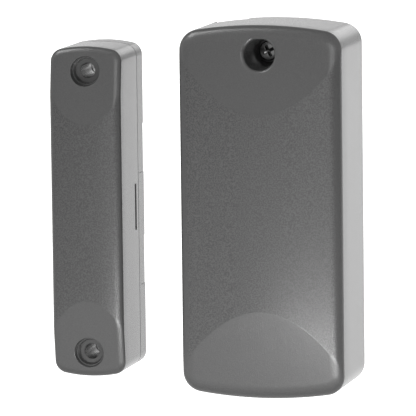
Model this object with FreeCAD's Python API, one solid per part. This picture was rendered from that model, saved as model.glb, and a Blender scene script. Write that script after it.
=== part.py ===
"""Wireless magnetic contact: a radio transmitter housing and its magnet housing, side by side on a wall.

Millimetres. +Z is up, +X is to the viewer's right and -Y is towards the viewer. The wall is the plane
Y = 0, and the origin is the middle of the transmitter's back face. Most helpers take a distance from
the wall, called depth, which is -Y.
"""

import FreeCAD
import Part

import math
import os

V = FreeCAD.Vector

# Transmitter housing, outside
T_WIDTH = 45.0
T_HEIGHT = 101.7
T_END_RISE = 2.2  # how far each curved end stands out at the middle
T_CORNER_RADIUS = 5.5
T_DEPTH = 28.5  # from the wall to the front of the crown
T_CROWN_RADIUS = 165.0
T_FACET_START = 26.8  # height above the middle at which each flat end facet begins
T_FACET_SLOPE = 5.6  # degrees that an end facet leans back
T_EDGE_RADIUS = 2.4
T_WALL = 2.0

# Magnet housing, outside
M_WIDTH = 20.0
M_HEIGHT = 90.8
M_END_RISE = 1.4
M_CORNER_RADIUS = 3.5
M_DEPTH = 25.0
M_CROWN_RADIUS = 49.0
M_FACET_START = 24.3
M_FACET_SLOPE = 7.4
M_EDGE_RADIUS = 1.5
M_WALL = 1.8
M_SPACING = 49.7  # from the transmitter's middle to the magnet housing's middle
M_DROP = 1.2  # the magnet housing hangs this much lower

# Cover screw and the well that it sits in
WELL_FROM_END = 7.85  # from the middle of the top end to the middle of the well
WELL_MOUTH_RADIUS = 4.2
WELL_FLOOR_RADIUS = 3.2
WELL_RIM_ROUND = 0.6
WELL_WALL = 1.4
WELL_FLOOR_DEPTH = 13.8
WELL_FLOOR_THICKNESS = 1.8
SCREW_HEAD_RADIUS = 2.75
SCREW_HEAD_HEIGHT = 2.1
SCREW_CORE_RADIUS = 1.15
SCREW_LENGTH = 9.5
SCREW_TURN = 25.0  # degrees that the driver recess is turned
SCREW_HOLE_RADIUS = 1.6
PILOT_CLEARANCE = 0.05
POST_RADIUS = 3.2
POST_GAP = 0.2

# Transmitter back plate
T_PLATE_THICKNESS = 2.0
T_PLATE_CLEARANCE = 0.2
T_RIM_THICKNESS = 1.2
T_RIM_HEIGHT = 2.6
WALL_HOLE_RADIUS = 2.1
WALL_HOLE_PAD_RADIUS = 4.6
WALL_HOLE_PAD_HEIGHT = 0.8
T_HOLE_SPACING = 73.0
T_HOLE_MIDDLE = -2.0
POCKET_DEPTH = 0.6
POCKET_RIB = 2.6
POCKET_LAND = 3.4
POCKET_ROWS = 4
KNOCKOUT_LENGTH = 9.6  # cable entry panel in the top wall, at its rear edge
KNOCKOUT_WIDTH = 5.4
KNOCKOUT_SINK = 0.27
KNOCKOUT_OFFSET = 13.5
HOOK_WIDTH = 5.0
HOOK_THICKNESS = 1.6
HOOK_REACH = 1.6
HOOK_OFFSET = 11.0
LUG_DEPTH = 7.0
LUG_THICKNESS = 2.0
HOOK_CLEARANCE = 0.25

# Circuit board
BOARD_WIDTH = 37.0
BOARD_HEIGHT = 60.0
BOARD_THICKNESS = 1.6
BOARD_MIDDLE = -2.0
BOARD_CORNER = 2.0
BOARD_STANDOFF = 3.0
BOARD_POST_RADIUS = 2.4
BOARD_POST_INSET = 3.0
BOARD_SCREW_RADIUS = 1.0
BOARD_SCREW_HEAD_RADIUS = 1.9
BOARD_SCREW_HEAD_HEIGHT = 1.3
BOARD_SCREW_LENGTH = 4.2

# Battery and its holder
CELL_RADIUS = 8.5
CELL_LENGTH = 34.0  # with its button
CELL_BUTTON_RADIUS = 3.2
CELL_BUTTON_HEIGHT = 1.0
CELL_EDGE_ROUND = 0.8
CELL_X = 8.2
CELL_Z = 6.4
HOLDER_WALL = 1.4
HOLDER_FLOOR = 1.0
HOLDER_CLEARANCE = 0.15
HOLDER_SIDE_HEIGHT = 9.0
CONTACT_THICKNESS = 0.4
CONTACT_WIDTH = 8.0
SPRING_ROOM = 2.6

# Pieces on the circuit board
REED_RADIUS = 1.1
REED_LENGTH = 14.0
REED_LEAD_RADIUS = 0.25
REED_LEAD_REACH = 3.4
REED_X = -16.0
REED_Z = -1.2
REED_LIFT = 0.4
TAMPER_X = -8.0
TAMPER_Z = -19.0
TAMPER_SIDE = 6.2
TAMPER_HEIGHT = 4.2
TAMPER_WALL = 1.1
TAMPER_CORNER = 0.5
PLUNGER_RADIUS = 1.6
PLUNGER_COLLAR_RADIUS = 1.95
PLUNGER_COLLAR = 0.7
PLUNGER_REACH = 3.2  # how far it stands out of the switch with the cover shut
PLUNGER_SPARE_TRAVEL = 0.8
PLUNGER_CLEARANCE = 0.05
PRESS_POST_RADIUS = 2.2
CAN_LENGTH = 14.0
CAN_WIDTH = 10.0
CAN_HEIGHT = 2.8
CAN_X = -8.2
CAN_Z = 19.5
CAN_CORNER = 0.8
CHIP_SIDE = 7.0
CHIP_HEIGHT = 1.4
CHIP_X = -7.4
CHIP_Z = 4.6
CHIP_LIFT = 0.1
LEAD_COUNT = 7
LEAD_PITCH = 0.9
LEAD_WIDTH = 0.45
LEAD_THICKNESS = 0.2
LEAD_REACH = 1.2
CRYSTAL_LENGTH = 10.4
CRYSTAL_WIDTH = 4.4
CRYSTAL_HEIGHT = 3.4
CRYSTAL_X = -7.6
CRYSTAL_Z = -7.4
TERMINAL_WAYS = 3
TERMINAL_PITCH = 3.5
TERMINAL_WIDTH = 7.0
TERMINAL_HEIGHT = 8.4
TERMINAL_X = 3.0
TERMINAL_Z = -27.6
TERMINAL_SCREW_RADIUS = 1.35
TERMINAL_SCREW_SINK = 0.6
TERMINAL_SCREW_LENGTH = 4.0
CAPACITOR_RADIUS = 3.15
CAPACITOR_HEIGHT = 7.7
CAPACITOR_X = 14.0
CAPACITOR_Z = -20.6
CAPACITOR_FOOT = 0.9
PIN_PITCH = 2.54
PIN_SIDE = 0.64
PIN_LENGTH = 5.6
HEADER_HEIGHT = 2.5
HEADER_X = 2.6
HEADER_Z = -19.6
LED_LENGTH = 3.2
LED_WIDTH = 1.6
LED_HEIGHT = 1.1
LED_X = -14.6
LED_Z = -22.6
ANTENNA_RADIUS = 0.4
ANTENNA_X = -2.5
ANTENNA_Z = 26.2
ANTENNA_BEND = 2.0
ANTENNA_DEPTH = 17.0
ANTENNA_RISE = 7.0
ANTENNA_RUN = 13.0

# Magnet housing, inside
M_BASE_DEPTH = 6.0
M_FLOOR = 2.0
M_LIP_HEIGHT = 1.6
M_LIP_THICKNESS = 1.0
M_LIP_CLEARANCE = 0.12
SEAM_CHAMFER = 0.2
M_HOLE_SPACING = 77.4
SINK_MOUTH_RADIUS = 4.1
SINK_FLOOR_RADIUS = 3.3
SINK_DEPTH = 3.0
SINK_STEP_DEPTH = 1.4
SINK_STEP = 0.2
SINK_WALL = 1.2
M_TUBE_RADIUS = 3.7
M_TUBE_JOINT = 8.0  # depth at which the tray's screw tube meets the cover's
SLOT_LENGTH = 12.8
SLOT_WIDTH = 1.6
SLOT_DEPTH = 8.9  # from the wall to the middle of the slot
LATCH_LENGTH = 9.0
LATCH_THICKNESS = 1.0
LATCH_NOSE = 0.8
LATCH_CLEARANCE = 0.15
PRY_LENGTH = 5.4
PRY_WIDTH = 0.6
SIDE_PANEL_LENGTH = 13.5
SIDE_PANEL_START = 8.8
SIDE_PANEL_LAND = 1.1  # from the panel's front edge to the seam; its back edge is open
SIDE_PANEL_SINK = 0.15
MAGNET_LENGTH = 40.0
MAGNET_WIDTH = 10.0
MAGNET_THICKNESS = 5.0
MAGNET_CLEARANCE = 0.15
CRADLE_WALL = 1.0
CRADLE_HEIGHT = 6.0
MAGNET_POST_RADIUS = 2.0
MAGNET_POST_OFFSET = 12.0

REACH = 400.0  # larger than anything here, for cutting blocks


def block(x0, x1, near, far, z0, z1):
    """Box between two widths, two depths from the wall and two heights."""
    return Part.makeBox(x1 - x0, far - near, z1 - z0, V(x0, -far, z0))


def rod(x, z, radius, near, far):
    """Round bar square to the wall, from depth near to depth far."""
    return Part.makeCylinder(radius, far - near, V(x, -far, z), V(0, 1, 0))


def taper(x, z, near_radius, far_radius, near, far):
    """Cone square to the wall, with one radius at each depth."""
    if abs(near_radius - far_radius) < 1e-6:
        return rod(x, z, near_radius, near, far)
    return Part.makeCone(far_radius, near_radius, far - near, V(x, -far, z), V(0, 1, 0))


def fuse(first, others):
    """One clean solid from several that touch."""
    return first.multiFuse(others).removeSplitter() if others else first


def edges_at(shape, depth):
    """The edges that lie wholly at one depth from the wall."""
    return [e for e in shape.Edges if all(abs(v.Y + depth) < 1e-4 for v in e.Vertexes)
            and abs(e.BoundBox.YMin + depth) < 1e-3 and abs(e.BoundBox.YMax + depth) < 1e-3]


class Housing:
    """The outer form of one housing: a barrel outline, a crowned front and two flat end facets."""

    def __init__(self, width, height, rise, corner, depth, crown, start, slope, edge, wall):
        self.half_width = width / 2
        self.half_height = height / 2
        self.end_radius = (self.half_width ** 2 + rise ** 2) / (2 * rise)
        self.corner = corner
        self.depth = depth
        self.crown = crown
        self.start = start
        self.slope = math.radians(slope)
        self.edge = edge
        self.wall = wall

    def wire(self, inset, depth):
        """The barrel outline, taken in by inset, in the plane at one depth."""
        w = self.half_width - inset
        h = self.half_height - inset
        big = self.end_radius - inset
        r = max(self.corner - inset, 0.4)
        middle = h - big
        cx = w - r
        cz = middle + math.sqrt((big - r) ** 2 - cx ** 2)
        lean = math.atan2(cx, cz - middle)
        half = (math.pi / 2 + lean) / 2
        tangent = (big * math.sin(lean), middle + big * math.cos(lean))
        bend = (cx + r * math.sin(half), cz + r * math.cos(half))

        def p(x, z):
            return V(x, -depth, z)

        edges = []
        for s in (1, -1):
            edges.append(Part.Arc(p(-s * tangent[0], s * tangent[1]), p(0, s * h),
                                  p(s * tangent[0], s * tangent[1])))
            edges.append(Part.Arc(p(s * tangent[0], s * tangent[1]), p(s * bend[0], s * bend[1]),
                                  p(s * w, s * cz)))
            edges.append(Part.LineSegment(p(s * w, s * cz), p(s * w, -s * cz)))
            edges.append(Part.Arc(p(s * w, -s * cz), p(s * bend[0], -s * bend[1]),
                                  p(s * tangent[0], -s * tangent[1])))
        return Part.Wire([e.toShape() for e in edges])

    def prism(self, inset, near, far):
        """The barrel outline carried from depth near to depth far."""
        face = Part.Face(self.wire(inset, near))
        return face.extrude(V(0, near - far, 0))

    def ring(self, inset, thickness, near, far):
        """A wall of that thickness standing on the outline."""
        return self.prism(inset, near, far).cut(self.prism(inset + thickness, near, far))

    def front(self, z, inset=0.0):
        """Depth of the front on the centreline, at a height from the housing's middle."""
        lean = max(abs(z) - self.start, 0.0) * math.tan(self.slope)
        return self.depth - inset - lean

    def body(self, inset=0.0):
        """The whole form: each surface is rounded by itself, so that the creases stay crisp."""
        depth = self.depth - inset
        crown = self.crown - inset
        stock = self.prism(inset, 0.0, depth + 1.0)
        drum = Part.makeCylinder(crown, REACH, V(0, crown - depth, -REACH / 2), V(0, 0, 1))
        shape = stock.common(drum)
        if not inset:
            shape = self.rounded(shape)
        for side in (1, -1):
            keep = Part.makeBox(REACH, REACH, REACH, V(-REACH / 2, -depth, -REACH / 2))
            keep.rotate(V(0, -depth, side * self.start), V(1, 0, 0), -side * math.degrees(self.slope))
            leaning = self.prism(inset, 0.0, depth + self.start).common(keep)
            if not inset:
                leaning = self.rounded(leaning)
            shape = shape.common(leaning)
        return shape.removeSplitter()

    def rounded(self, shape):
        """The same solid with the edge round its front rounded."""
        front = min(shape.Faces, key=lambda f: f.CenterOfMass.y)
        return shape.makeFillet(self.edge, front.OuterWire.Edges)


TRANSMITTER = Housing(T_WIDTH, T_HEIGHT, T_END_RISE, T_CORNER_RADIUS, T_DEPTH, T_CROWN_RADIUS,
                      T_FACET_START, T_FACET_SLOPE, T_EDGE_RADIUS, T_WALL)
MAGNET = Housing(M_WIDTH, M_HEIGHT, M_END_RISE, M_CORNER_RADIUS, M_DEPTH, M_CROWN_RADIUS,
                 M_FACET_START, M_FACET_SLOPE, M_EDGE_RADIUS, M_WALL)

WELL_HEIGHT = T_HEIGHT / 2 - WELL_FROM_END
BOARD_BACK = T_PLATE_THICKNESS + BOARD_STANDOFF
BOARD_FRONT = BOARD_BACK + BOARD_THICKNESS
BOARD_TOP = BOARD_MIDDLE + BOARD_HEIGHT / 2
BOARD_BOTTOM = BOARD_MIDDLE - BOARD_HEIGHT / 2
PLUNGER_TIP = BOARD_FRONT + TAMPER_HEIGHT + PLUNGER_REACH
HOLDER_HALF_WIDTH = CELL_RADIUS + HOLDER_CLEARANCE + HOLDER_WALL
CELL_DEPTH = BOARD_FRONT + HOLDER_FLOOR + HOLDER_CLEARANCE + CELL_RADIUS
CELL_TOP = CELL_Z + CELL_LENGTH / 2
CELL_BOTTOM = CELL_Z - CELL_LENGTH / 2
HOLDER_TOP = CELL_TOP + CONTACT_THICKNESS + HOLDER_WALL
HOLDER_BOTTOM = CELL_BOTTOM - SPRING_ROOM - HOLDER_WALL


def board_posts():
    """The places of the four posts under the board: each is a width and a height."""
    x = BOARD_WIDTH / 2 - BOARD_POST_INSET
    return [(sx * x, BOARD_MIDDLE + sz * (BOARD_HEIGHT / 2 - BOARD_POST_INSET))
            for sx in (-1, 1) for sz in (-1, 1)]


def screwed_posts():
    """The two posts that take a screw: upper left and lower right."""
    posts = board_posts()
    return [posts[1], posts[2]]


def wall_holes(spacing, middle):
    """Heights of the two wall screw holes of a housing."""
    return [middle + spacing / 2, middle - spacing / 2]


def cross_recess(x, z, radius, width, depth, face, turn):
    """The driver recess of a screw head: two crossed slots that narrow as they go in."""
    arms = [block(x - radius, x + radius, face - depth, face + 0.1, z - width / 2, z + width / 2)
            for _ in range(2)]
    arms[1].rotate(V(x, 0, z), V(0, 1, 0), 90)
    cross = arms[0].fuse(arms[1])
    cross.rotate(V(x, 0, z), V(0, 1, 0), turn)
    return cross.common(taper(x, z, radius * 0.35, radius, face - depth, face + 0.1))


def pan_screw(x, z, head_radius, head_height, core, length, seat, turn):
    """Pan head screw whose head sits on depth seat, with its tip towards the wall."""
    face = seat + head_height
    head = rod(x, z, head_radius, seat, face)
    head = head.makeFillet(head_height * 0.45, edges_at(head, face))
    shank = rod(x, z, core, seat - length + core, seat)
    tip = taper(x, z, core * 0.3, core, seat - length, seat - length + core)
    screw = fuse(head, [shank, tip])
    arm, width, depth = head_radius * 0.6, head_radius * 0.33, head_height * 0.65
    return screw.cut(cross_recess(x, z, arm, width, depth, face, turn))


def transmitter_cover():
    """Crowned shell with the screw well, the post that presses the tamper switch and two lugs."""
    h = TRANSMITTER
    inside = h.body(T_WALL)
    shell = h.body().cut(inside)
    mouth = h.front(WELL_HEIGHT)
    clamp = WELL_FLOOR_DEPTH - WELL_FLOOR_THICKNESS
    spread = (WELL_MOUTH_RADIUS - WELL_FLOOR_RADIUS) / (mouth - WELL_FLOOR_DEPTH)
    tube_end = WELL_FLOOR_RADIUS - spread * WELL_FLOOR_THICKNESS + WELL_WALL
    tube = taper(0, WELL_HEIGHT, tube_end, WELL_MOUTH_RADIUS + WELL_WALL, clamp, mouth)
    press_post = rod(TAMPER_X, TAMPER_Z, PRESS_POST_RADIUS, PLUNGER_TIP, h.depth)
    inner = [tube.common(inside), press_post.common(inside)]
    for side in (1, -1):
        middle = side * HOOK_OFFSET
        lug = block(middle - HOOK_WIDTH / 2, middle + HOOK_WIDTH / 2, LUG_DEPTH, LUG_DEPTH + LUG_THICKNESS,
                    -h.half_height, -lug_top())
        inner.append(lug.common(inside))
    shell = fuse(shell, inner).cut(cable_entry())
    beyond = h.depth + 1
    wide = WELL_MOUTH_RADIUS + spread * (beyond - mouth)
    shell = shell.cut(taper(0, WELL_HEIGHT, WELL_FLOOR_RADIUS, wide, WELL_FLOOR_DEPTH, beyond))
    shell = shell.cut(rod(0, WELL_HEIGHT, SCREW_HOLE_RADIUS, 0, WELL_FLOOR_DEPTH))
    rim = [e for e in shell.Edges if e.isClosed() and abs(e.BoundBox.XLength - 2 * WELL_MOUTH_RADIUS) < 0.3
           and abs(-e.BoundBox.Center.y - mouth) < 0.3]
    return shell.makeFillet(WELL_RIM_ROUND, rim)


def cable_entry():
    """Shallow outline of the cable entry, taken out of the curved top wall."""
    h = TRANSMITTER
    half = KNOCKOUT_LENGTH / 2
    skin = h.ring(0, KNOCKOUT_SINK, 0, KNOCKOUT_WIDTH)
    x0, x1 = -KNOCKOUT_OFFSET - half, -KNOCKOUT_OFFSET + half
    return skin.common(block(x0, x1, 0, KNOCKOUT_WIDTH, 0, h.half_height))


def lug_top():
    """How far below the middle a cover lug ends, measured where its curved wall is highest."""
    x = HOOK_OFFSET + HOOK_WIDTH / 2
    big = TRANSMITTER.end_radius - T_WALL
    floor = TRANSMITTER.half_height - T_WALL
    return floor - (big - math.sqrt(big ** 2 - x ** 2)) - HOOK_REACH


def transmitter_base():
    """Back plate inside the cover: rim, screw post, board posts, wall screw pads and two hooks."""
    h = TRANSMITTER
    inset = T_WALL + T_PLATE_CLEARANCE
    plate = h.prism(inset, 0, T_PLATE_THICKNESS)
    rim = h.ring(inset, T_RIM_THICKNESS, T_PLATE_THICKNESS, T_PLATE_THICKNESS + T_RIM_HEIGHT)
    post_top = WELL_FLOOR_DEPTH - WELL_FLOOR_THICKNESS - POST_GAP
    parts = [rim, rod(0, WELL_HEIGHT, POST_RADIUS, T_PLATE_THICKNESS, post_top)]
    for x, z in board_posts():
        parts.append(rod(x, z, BOARD_POST_RADIUS, T_PLATE_THICKNESS, BOARD_BACK))
    holes = wall_holes(T_HOLE_SPACING, T_HOLE_MIDDLE)
    pad_top = T_PLATE_THICKNESS + WALL_HOLE_PAD_HEIGHT
    for z in holes:
        parts.append(rod(0, z, WALL_HOLE_PAD_RADIUS, T_PLATE_THICKNESS, pad_top))
    for side in (1, -1):
        parts.append(hook(side * HOOK_OFFSET))
    base = fuse(plate, parts)
    base = base.cut(back_pockets(holes))
    for z in holes:
        base = base.cut(rod(0, z, WALL_HOLE_RADIUS, -1, pad_top + 1))
    pilot = SCREW_CORE_RADIUS + PILOT_CLEARANCE
    tip = WELL_FLOOR_DEPTH - SCREW_LENGTH
    base = base.cut(rod(0, WELL_HEIGHT, pilot, tip - 0.5, post_top))
    for x, z in screwed_posts():
        depth = BOARD_FRONT - BOARD_SCREW_LENGTH - 0.3
        base = base.cut(rod(x, z, BOARD_SCREW_RADIUS + PILOT_CLEARANCE, depth, BOARD_BACK))
    return base


def hook(x):
    """Finger on the back plate whose nose lies in front of a cover lug."""
    stem = lug_top() - HOOK_CLEARANCE
    front = LUG_DEPTH + LUG_THICKNESS + HOOK_CLEARANCE
    tip = front + HOOK_THICKNESS
    x0, x1 = x - HOOK_WIDTH / 2, x + HOOK_WIDTH / 2
    finger = block(x0, x1, T_PLATE_THICKNESS, tip, -stem, -stem + HOOK_THICKNESS)
    nose = block(x0, x1, front, tip, -stem - HOOK_REACH, -stem)
    return finger.fuse(nose)


def back_pockets(holes):
    """Shallow moulded pockets in the back of the transmitter's plate, clear of the screw pads."""
    h = TRANSMITTER
    inset = T_WALL + T_PLATE_CLEARANCE + POCKET_LAND
    field = h.prism(inset, 0, POCKET_DEPTH)
    half = POCKET_RIB / 2
    ribs = [block(-half, half, 0, POCKET_DEPTH, -h.half_height, h.half_height)]
    pitch = 2 * (h.half_height - inset) / POCKET_ROWS
    for i in range(1, POCKET_ROWS):
        z = -(h.half_height - inset) + i * pitch
        ribs.append(block(-h.half_width, h.half_width, 0, POCKET_DEPTH, z - half, z + half))
    ribs += [rod(0, z, WALL_HOLE_PAD_RADIUS, 0, POCKET_DEPTH) for z in holes]
    ribs.append(rod(0, WELL_HEIGHT, POST_RADIUS + 1, 0, POCKET_DEPTH))
    return field.cut(ribs[0].multiFuse(ribs[1:]))


def cover_screw():
    """The pan head screw that closes the transmitter."""
    return pan_screw(0, WELL_HEIGHT, SCREW_HEAD_RADIUS, SCREW_HEAD_HEIGHT, SCREW_CORE_RADIUS, SCREW_LENGTH,
                     WELL_FLOOR_DEPTH, SCREW_TURN)


def circuit_board():
    """Board with rounded corners, two screw holes and two locating holes."""
    board = block(-BOARD_WIDTH / 2, BOARD_WIDTH / 2, BOARD_BACK, BOARD_FRONT, BOARD_BOTTOM, BOARD_TOP)
    corners = [e for e in board.Edges if abs(e.BoundBox.YLength - BOARD_THICKNESS) < 1e-3]
    board = board.makeFillet(BOARD_CORNER, corners)
    for x, z in screwed_posts():
        board = board.cut(rod(x, z, BOARD_SCREW_RADIUS + PILOT_CLEARANCE, BOARD_BACK, BOARD_FRONT))
    return board


def board_screws():
    """The two small screws that hold the board down."""
    return Part.makeCompound([
        pan_screw(x, z, BOARD_SCREW_HEAD_RADIUS, BOARD_SCREW_HEAD_HEIGHT, BOARD_SCREW_RADIUS,
                  BOARD_SCREW_LENGTH, BOARD_FRONT, 0.0)
        for x, z in screwed_posts()])


def battery_holder():
    """Open cradle on the board: a floor, two end walls and two low sides that follow the cell."""
    near = BOARD_FRONT
    side = near + HOLDER_SIDE_HEIGHT
    half = HOLDER_HALF_WIDTH
    body = block(CELL_X - half, CELL_X + half, near, side, HOLDER_BOTTOM, HOLDER_TOP)
    bore = Part.makeCylinder(CELL_RADIUS + HOLDER_CLEARANCE, HOLDER_TOP - HOLDER_BOTTOM - 2 * HOLDER_WALL,
                             V(CELL_X, -CELL_DEPTH, HOLDER_BOTTOM + HOLDER_WALL), V(0, 0, 1))
    return body.cut(bore)


def battery_cell():
    """Lithium cell with its raised button at the top."""
    foot = V(CELL_X, -CELL_DEPTH, CELL_BOTTOM)
    can = Part.makeCylinder(CELL_RADIUS, CELL_LENGTH - CELL_BUTTON_HEIGHT, foot, V(0, 0, 1))
    ends = [e for e in can.Edges if e.isClosed() and e.BoundBox.ZLength < 1e-3]
    can = can.makeFillet(CELL_EDGE_ROUND, ends)
    button = Part.makeCylinder(CELL_BUTTON_RADIUS, CELL_BUTTON_HEIGHT,
                               V(CELL_X, -CELL_DEPTH, CELL_TOP - CELL_BUTTON_HEIGHT), V(0, 0, 1))
    return can.fuse(button)


def positive_contact():
    """Flat strip between the cell's button and the holder's top wall."""
    half = CONTACT_WIDTH / 2
    near = CELL_DEPTH - CELL_RADIUS * 0.6
    return block(CELL_X - half, CELL_X + half, near, CELL_DEPTH + CELL_RADIUS * 0.5, CELL_TOP,
                 CELL_TOP + CONTACT_THICKNESS)


def negative_contact():
    """Folded leaf spring: a back strip on the holder's bottom wall and a blade that meets the cell."""
    half = CONTACT_WIDTH / 2
    near = CELL_DEPTH - CELL_RADIUS * 0.5
    far = CELL_DEPTH + CELL_RADIUS * 0.5
    low = HOLDER_BOTTOM + HOLDER_WALL
    t = CONTACT_THICKNESS
    profile = [V(0, -near, low), V(0, -far, low), V(0, -far, low + t), V(0, -near - 2 * t, low + t),
               V(0, -CELL_DEPTH + t, CELL_BOTTOM - t), V(0, -CELL_DEPTH - 2, CELL_BOTTOM - t),
               V(0, -CELL_DEPTH - 2, CELL_BOTTOM), V(0, -CELL_DEPTH + 2 * t, CELL_BOTTOM),
               V(0, -near, low + 1.5 * t), V(0, -near, low)]
    leaf = Part.Face(Part.makePolygon(profile)).extrude(V(2 * half, 0, 0))
    leaf.translate(V(CELL_X - half, 0, 0))
    return leaf


def reed_depth():
    """Depth of the reed switch's axis."""
    return BOARD_FRONT + REED_LIFT + REED_RADIUS


def reed_switch():
    """Sealed glass tube with rounded ends, standing along the side next to the magnet."""
    tube = Part.makeCylinder(REED_RADIUS, REED_LENGTH, V(REED_X, -reed_depth(), REED_Z - REED_LENGTH / 2),
                             V(0, 0, 1))
    ends = [e for e in tube.Edges if e.isClosed() and e.BoundBox.ZLength < 1e-3]
    return tube.makeFillet(REED_RADIUS * 0.6, ends)


def reed_leads():
    """The two leads of the reed switch, each bent down to the board."""
    leads = []
    depth = reed_depth()
    bend = 3 * REED_LEAD_RADIUS
    for side in (1, -1):
        start = REED_Z + side * REED_LENGTH / 2
        end = start + side * REED_LEAD_REACH
        corner = V(REED_X, -depth, end)
        a = V(REED_X, -depth, start)
        b = V(REED_X, -depth, end - side * bend)
        c = V(REED_X, -depth + bend, end)
        middle = corner + V(0, bend, -side * bend) - V(0, bend, -side * bend) * math.sqrt(0.5)
        path = Part.Wire([Part.LineSegment(a, b).toShape(), Part.Arc(b, middle, c).toShape(),
                          Part.LineSegment(c, V(REED_X, -BOARD_FRONT, end)).toShape()])
        leads.append(tube_along(path, a, V(0, 0, side), REED_LEAD_RADIUS))
    return Part.makeCompound(leads)


def tube_along(path, start, direction, radius):
    """Round wire along a path."""
    circle = Part.Wire([Part.Circle(start, direction, radius).toShape()])
    return path.makePipeShell([circle], True, False)


def tamper_switch():
    """Square switch body with a stepped bore for the plunger."""
    half = TAMPER_SIDE / 2
    top = BOARD_FRONT + TAMPER_HEIGHT
    body = block(TAMPER_X - half, TAMPER_X + half, BOARD_FRONT, top, TAMPER_Z - half, TAMPER_Z + half)
    corners = [e for e in body.Edges if abs(e.BoundBox.YLength - TAMPER_HEIGHT) < 1e-3]
    body = body.makeFillet(TAMPER_CORNER, corners)
    body = body.cut(rod(TAMPER_X, TAMPER_Z, PLUNGER_RADIUS + PLUNGER_CLEARANCE, top - TAMPER_WALL, top))
    room = PLUNGER_COLLAR_RADIUS + PLUNGER_CLEARANCE
    return body.cut(rod(TAMPER_X, TAMPER_Z, room, BOARD_FRONT + 0.6, top - TAMPER_WALL))


def tamper_plunger():
    """Plunger with a collar inside the switch. The cover's post holds it part way down."""
    foot = BOARD_FRONT + 0.6 + PLUNGER_SPARE_TRAVEL + 0.1
    stem = rod(TAMPER_X, TAMPER_Z, PLUNGER_RADIUS, foot, PLUNGER_TIP)
    stem = stem.makeFillet(PLUNGER_RADIUS * 0.3, edges_at(stem, PLUNGER_TIP))
    return stem.fuse(rod(TAMPER_X, TAMPER_Z, PLUNGER_COLLAR_RADIUS, foot, foot + PLUNGER_COLLAR))


def radio_can():
    """Pressed screening can over the radio."""
    half_w, half_l = CAN_WIDTH / 2, CAN_LENGTH / 2
    far = BOARD_FRONT + CAN_HEIGHT
    can = block(CAN_X - half_w, CAN_X + half_w, BOARD_FRONT, far, CAN_Z - half_l, CAN_Z + half_l)
    can = can.makeFillet(CAN_CORNER, [e for e in can.Edges if abs(e.BoundBox.YLength - CAN_HEIGHT) < 1e-3])
    return can.makeFillet(CAN_CORNER * 0.4, edges_at(can, far))


def microcontroller():
    """Chip body with a row of bent leads on each side."""
    half = CHIP_SIDE / 2
    low = BOARD_FRONT + CHIP_LIFT
    body = block(CHIP_X - half, CHIP_X + half, low, low + CHIP_HEIGHT, CHIP_Z - half, CHIP_Z + half)
    body = body.makeChamfer(0.25, edges_at(body, low + CHIP_HEIGHT))
    t = LEAD_THICKNESS
    mid = low + CHIP_HEIGHT / 2
    leads = []
    for side in (1, -1):
        edge = CHIP_X + side * half
        knee = edge + side * LEAD_REACH * 0.4
        outline = [(edge, mid), (knee, mid), (knee, BOARD_FRONT), (edge + side * LEAD_REACH, BOARD_FRONT),
                   (edge + side * LEAD_REACH, BOARD_FRONT + t), (knee + side * t, BOARD_FRONT + t),
                   (knee + side * t, mid + t), (edge, mid + t), (edge, mid)]
        face = Part.Face(Part.makePolygon([V(x, -d, 0) for x, d in outline]))
        for i in range(LEAD_COUNT):
            lead = face.extrude(V(0, 0, LEAD_WIDTH))
            lead.translate(V(0, 0, CHIP_Z + (i - (LEAD_COUNT - 1) / 2) * LEAD_PITCH - LEAD_WIDTH / 2))
            leads.append(lead)
    return fuse(body, leads)


def quartz_crystal():
    """Drawn metal can with round ends."""
    half = (CRYSTAL_LENGTH - CRYSTAL_WIDTH) / 2
    r = CRYSTAL_WIDTH / 2
    far = BOARD_FRONT + CRYSTAL_HEIGHT
    can = block(CRYSTAL_X - half, CRYSTAL_X + half, BOARD_FRONT, far, CRYSTAL_Z - r, CRYSTAL_Z + r)
    ends = [rod(CRYSTAL_X + s * half, CRYSTAL_Z, r, BOARD_FRONT, far) for s in (1, -1)]
    can = fuse(can, ends)
    return can.makeFillet(0.4, edges_at(can, far))


def terminal_places():
    """Widths of the terminal screws."""
    return [TERMINAL_X + (i - (TERMINAL_WAYS - 1) / 2) * TERMINAL_PITCH for i in range(TERMINAL_WAYS)]


def terminal_block():
    """Terminal block for an outside contact, with a stepped top and one wire hole for each way."""
    half = TERMINAL_WAYS * TERMINAL_PITCH / 2
    near, far = BOARD_FRONT, BOARD_FRONT + TERMINAL_HEIGHT
    z0, z1 = TERMINAL_Z - TERMINAL_WIDTH / 2, TERMINAL_Z + TERMINAL_WIDTH / 2
    step = TERMINAL_WIDTH * 0.25
    outline = [(z0, near), (z1, near), (z1, far - step), (z1 - step, far), (z0 + step * 0.5, far),
               (z0, far - step * 0.5), (z0, near)]
    side = Part.Face(Part.makePolygon([V(TERMINAL_X - half, -d, z) for z, d in outline]))
    body = side.extrude(V(2 * half, 0, 0))
    hole = TERMINAL_PITCH * 0.33
    for x in terminal_places():
        body = body.cut(rod(x, TERMINAL_Z, TERMINAL_SCREW_RADIUS + 0.1, far - TERMINAL_SCREW_SINK
                            - TERMINAL_SCREW_LENGTH, far))
        body = body.cut(block(x - hole, x + hole, near + 1, near + 1 + 2 * hole, z0, TERMINAL_Z))
    return body


def terminal_screws():
    """The slotted clamp screws of the terminal block."""
    screws = []
    far = BOARD_FRONT + TERMINAL_HEIGHT - TERMINAL_SCREW_SINK
    r = TERMINAL_SCREW_RADIUS
    for x in terminal_places():
        screw = rod(x, TERMINAL_Z, r, far - TERMINAL_SCREW_LENGTH, far)
        slot = block(x - r, x + r, far - 0.8, far + 0.1, TERMINAL_Z - 0.25, TERMINAL_Z + 0.25)
        screws.append(screw.cut(slot))
    return Part.makeCompound(screws)


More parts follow.
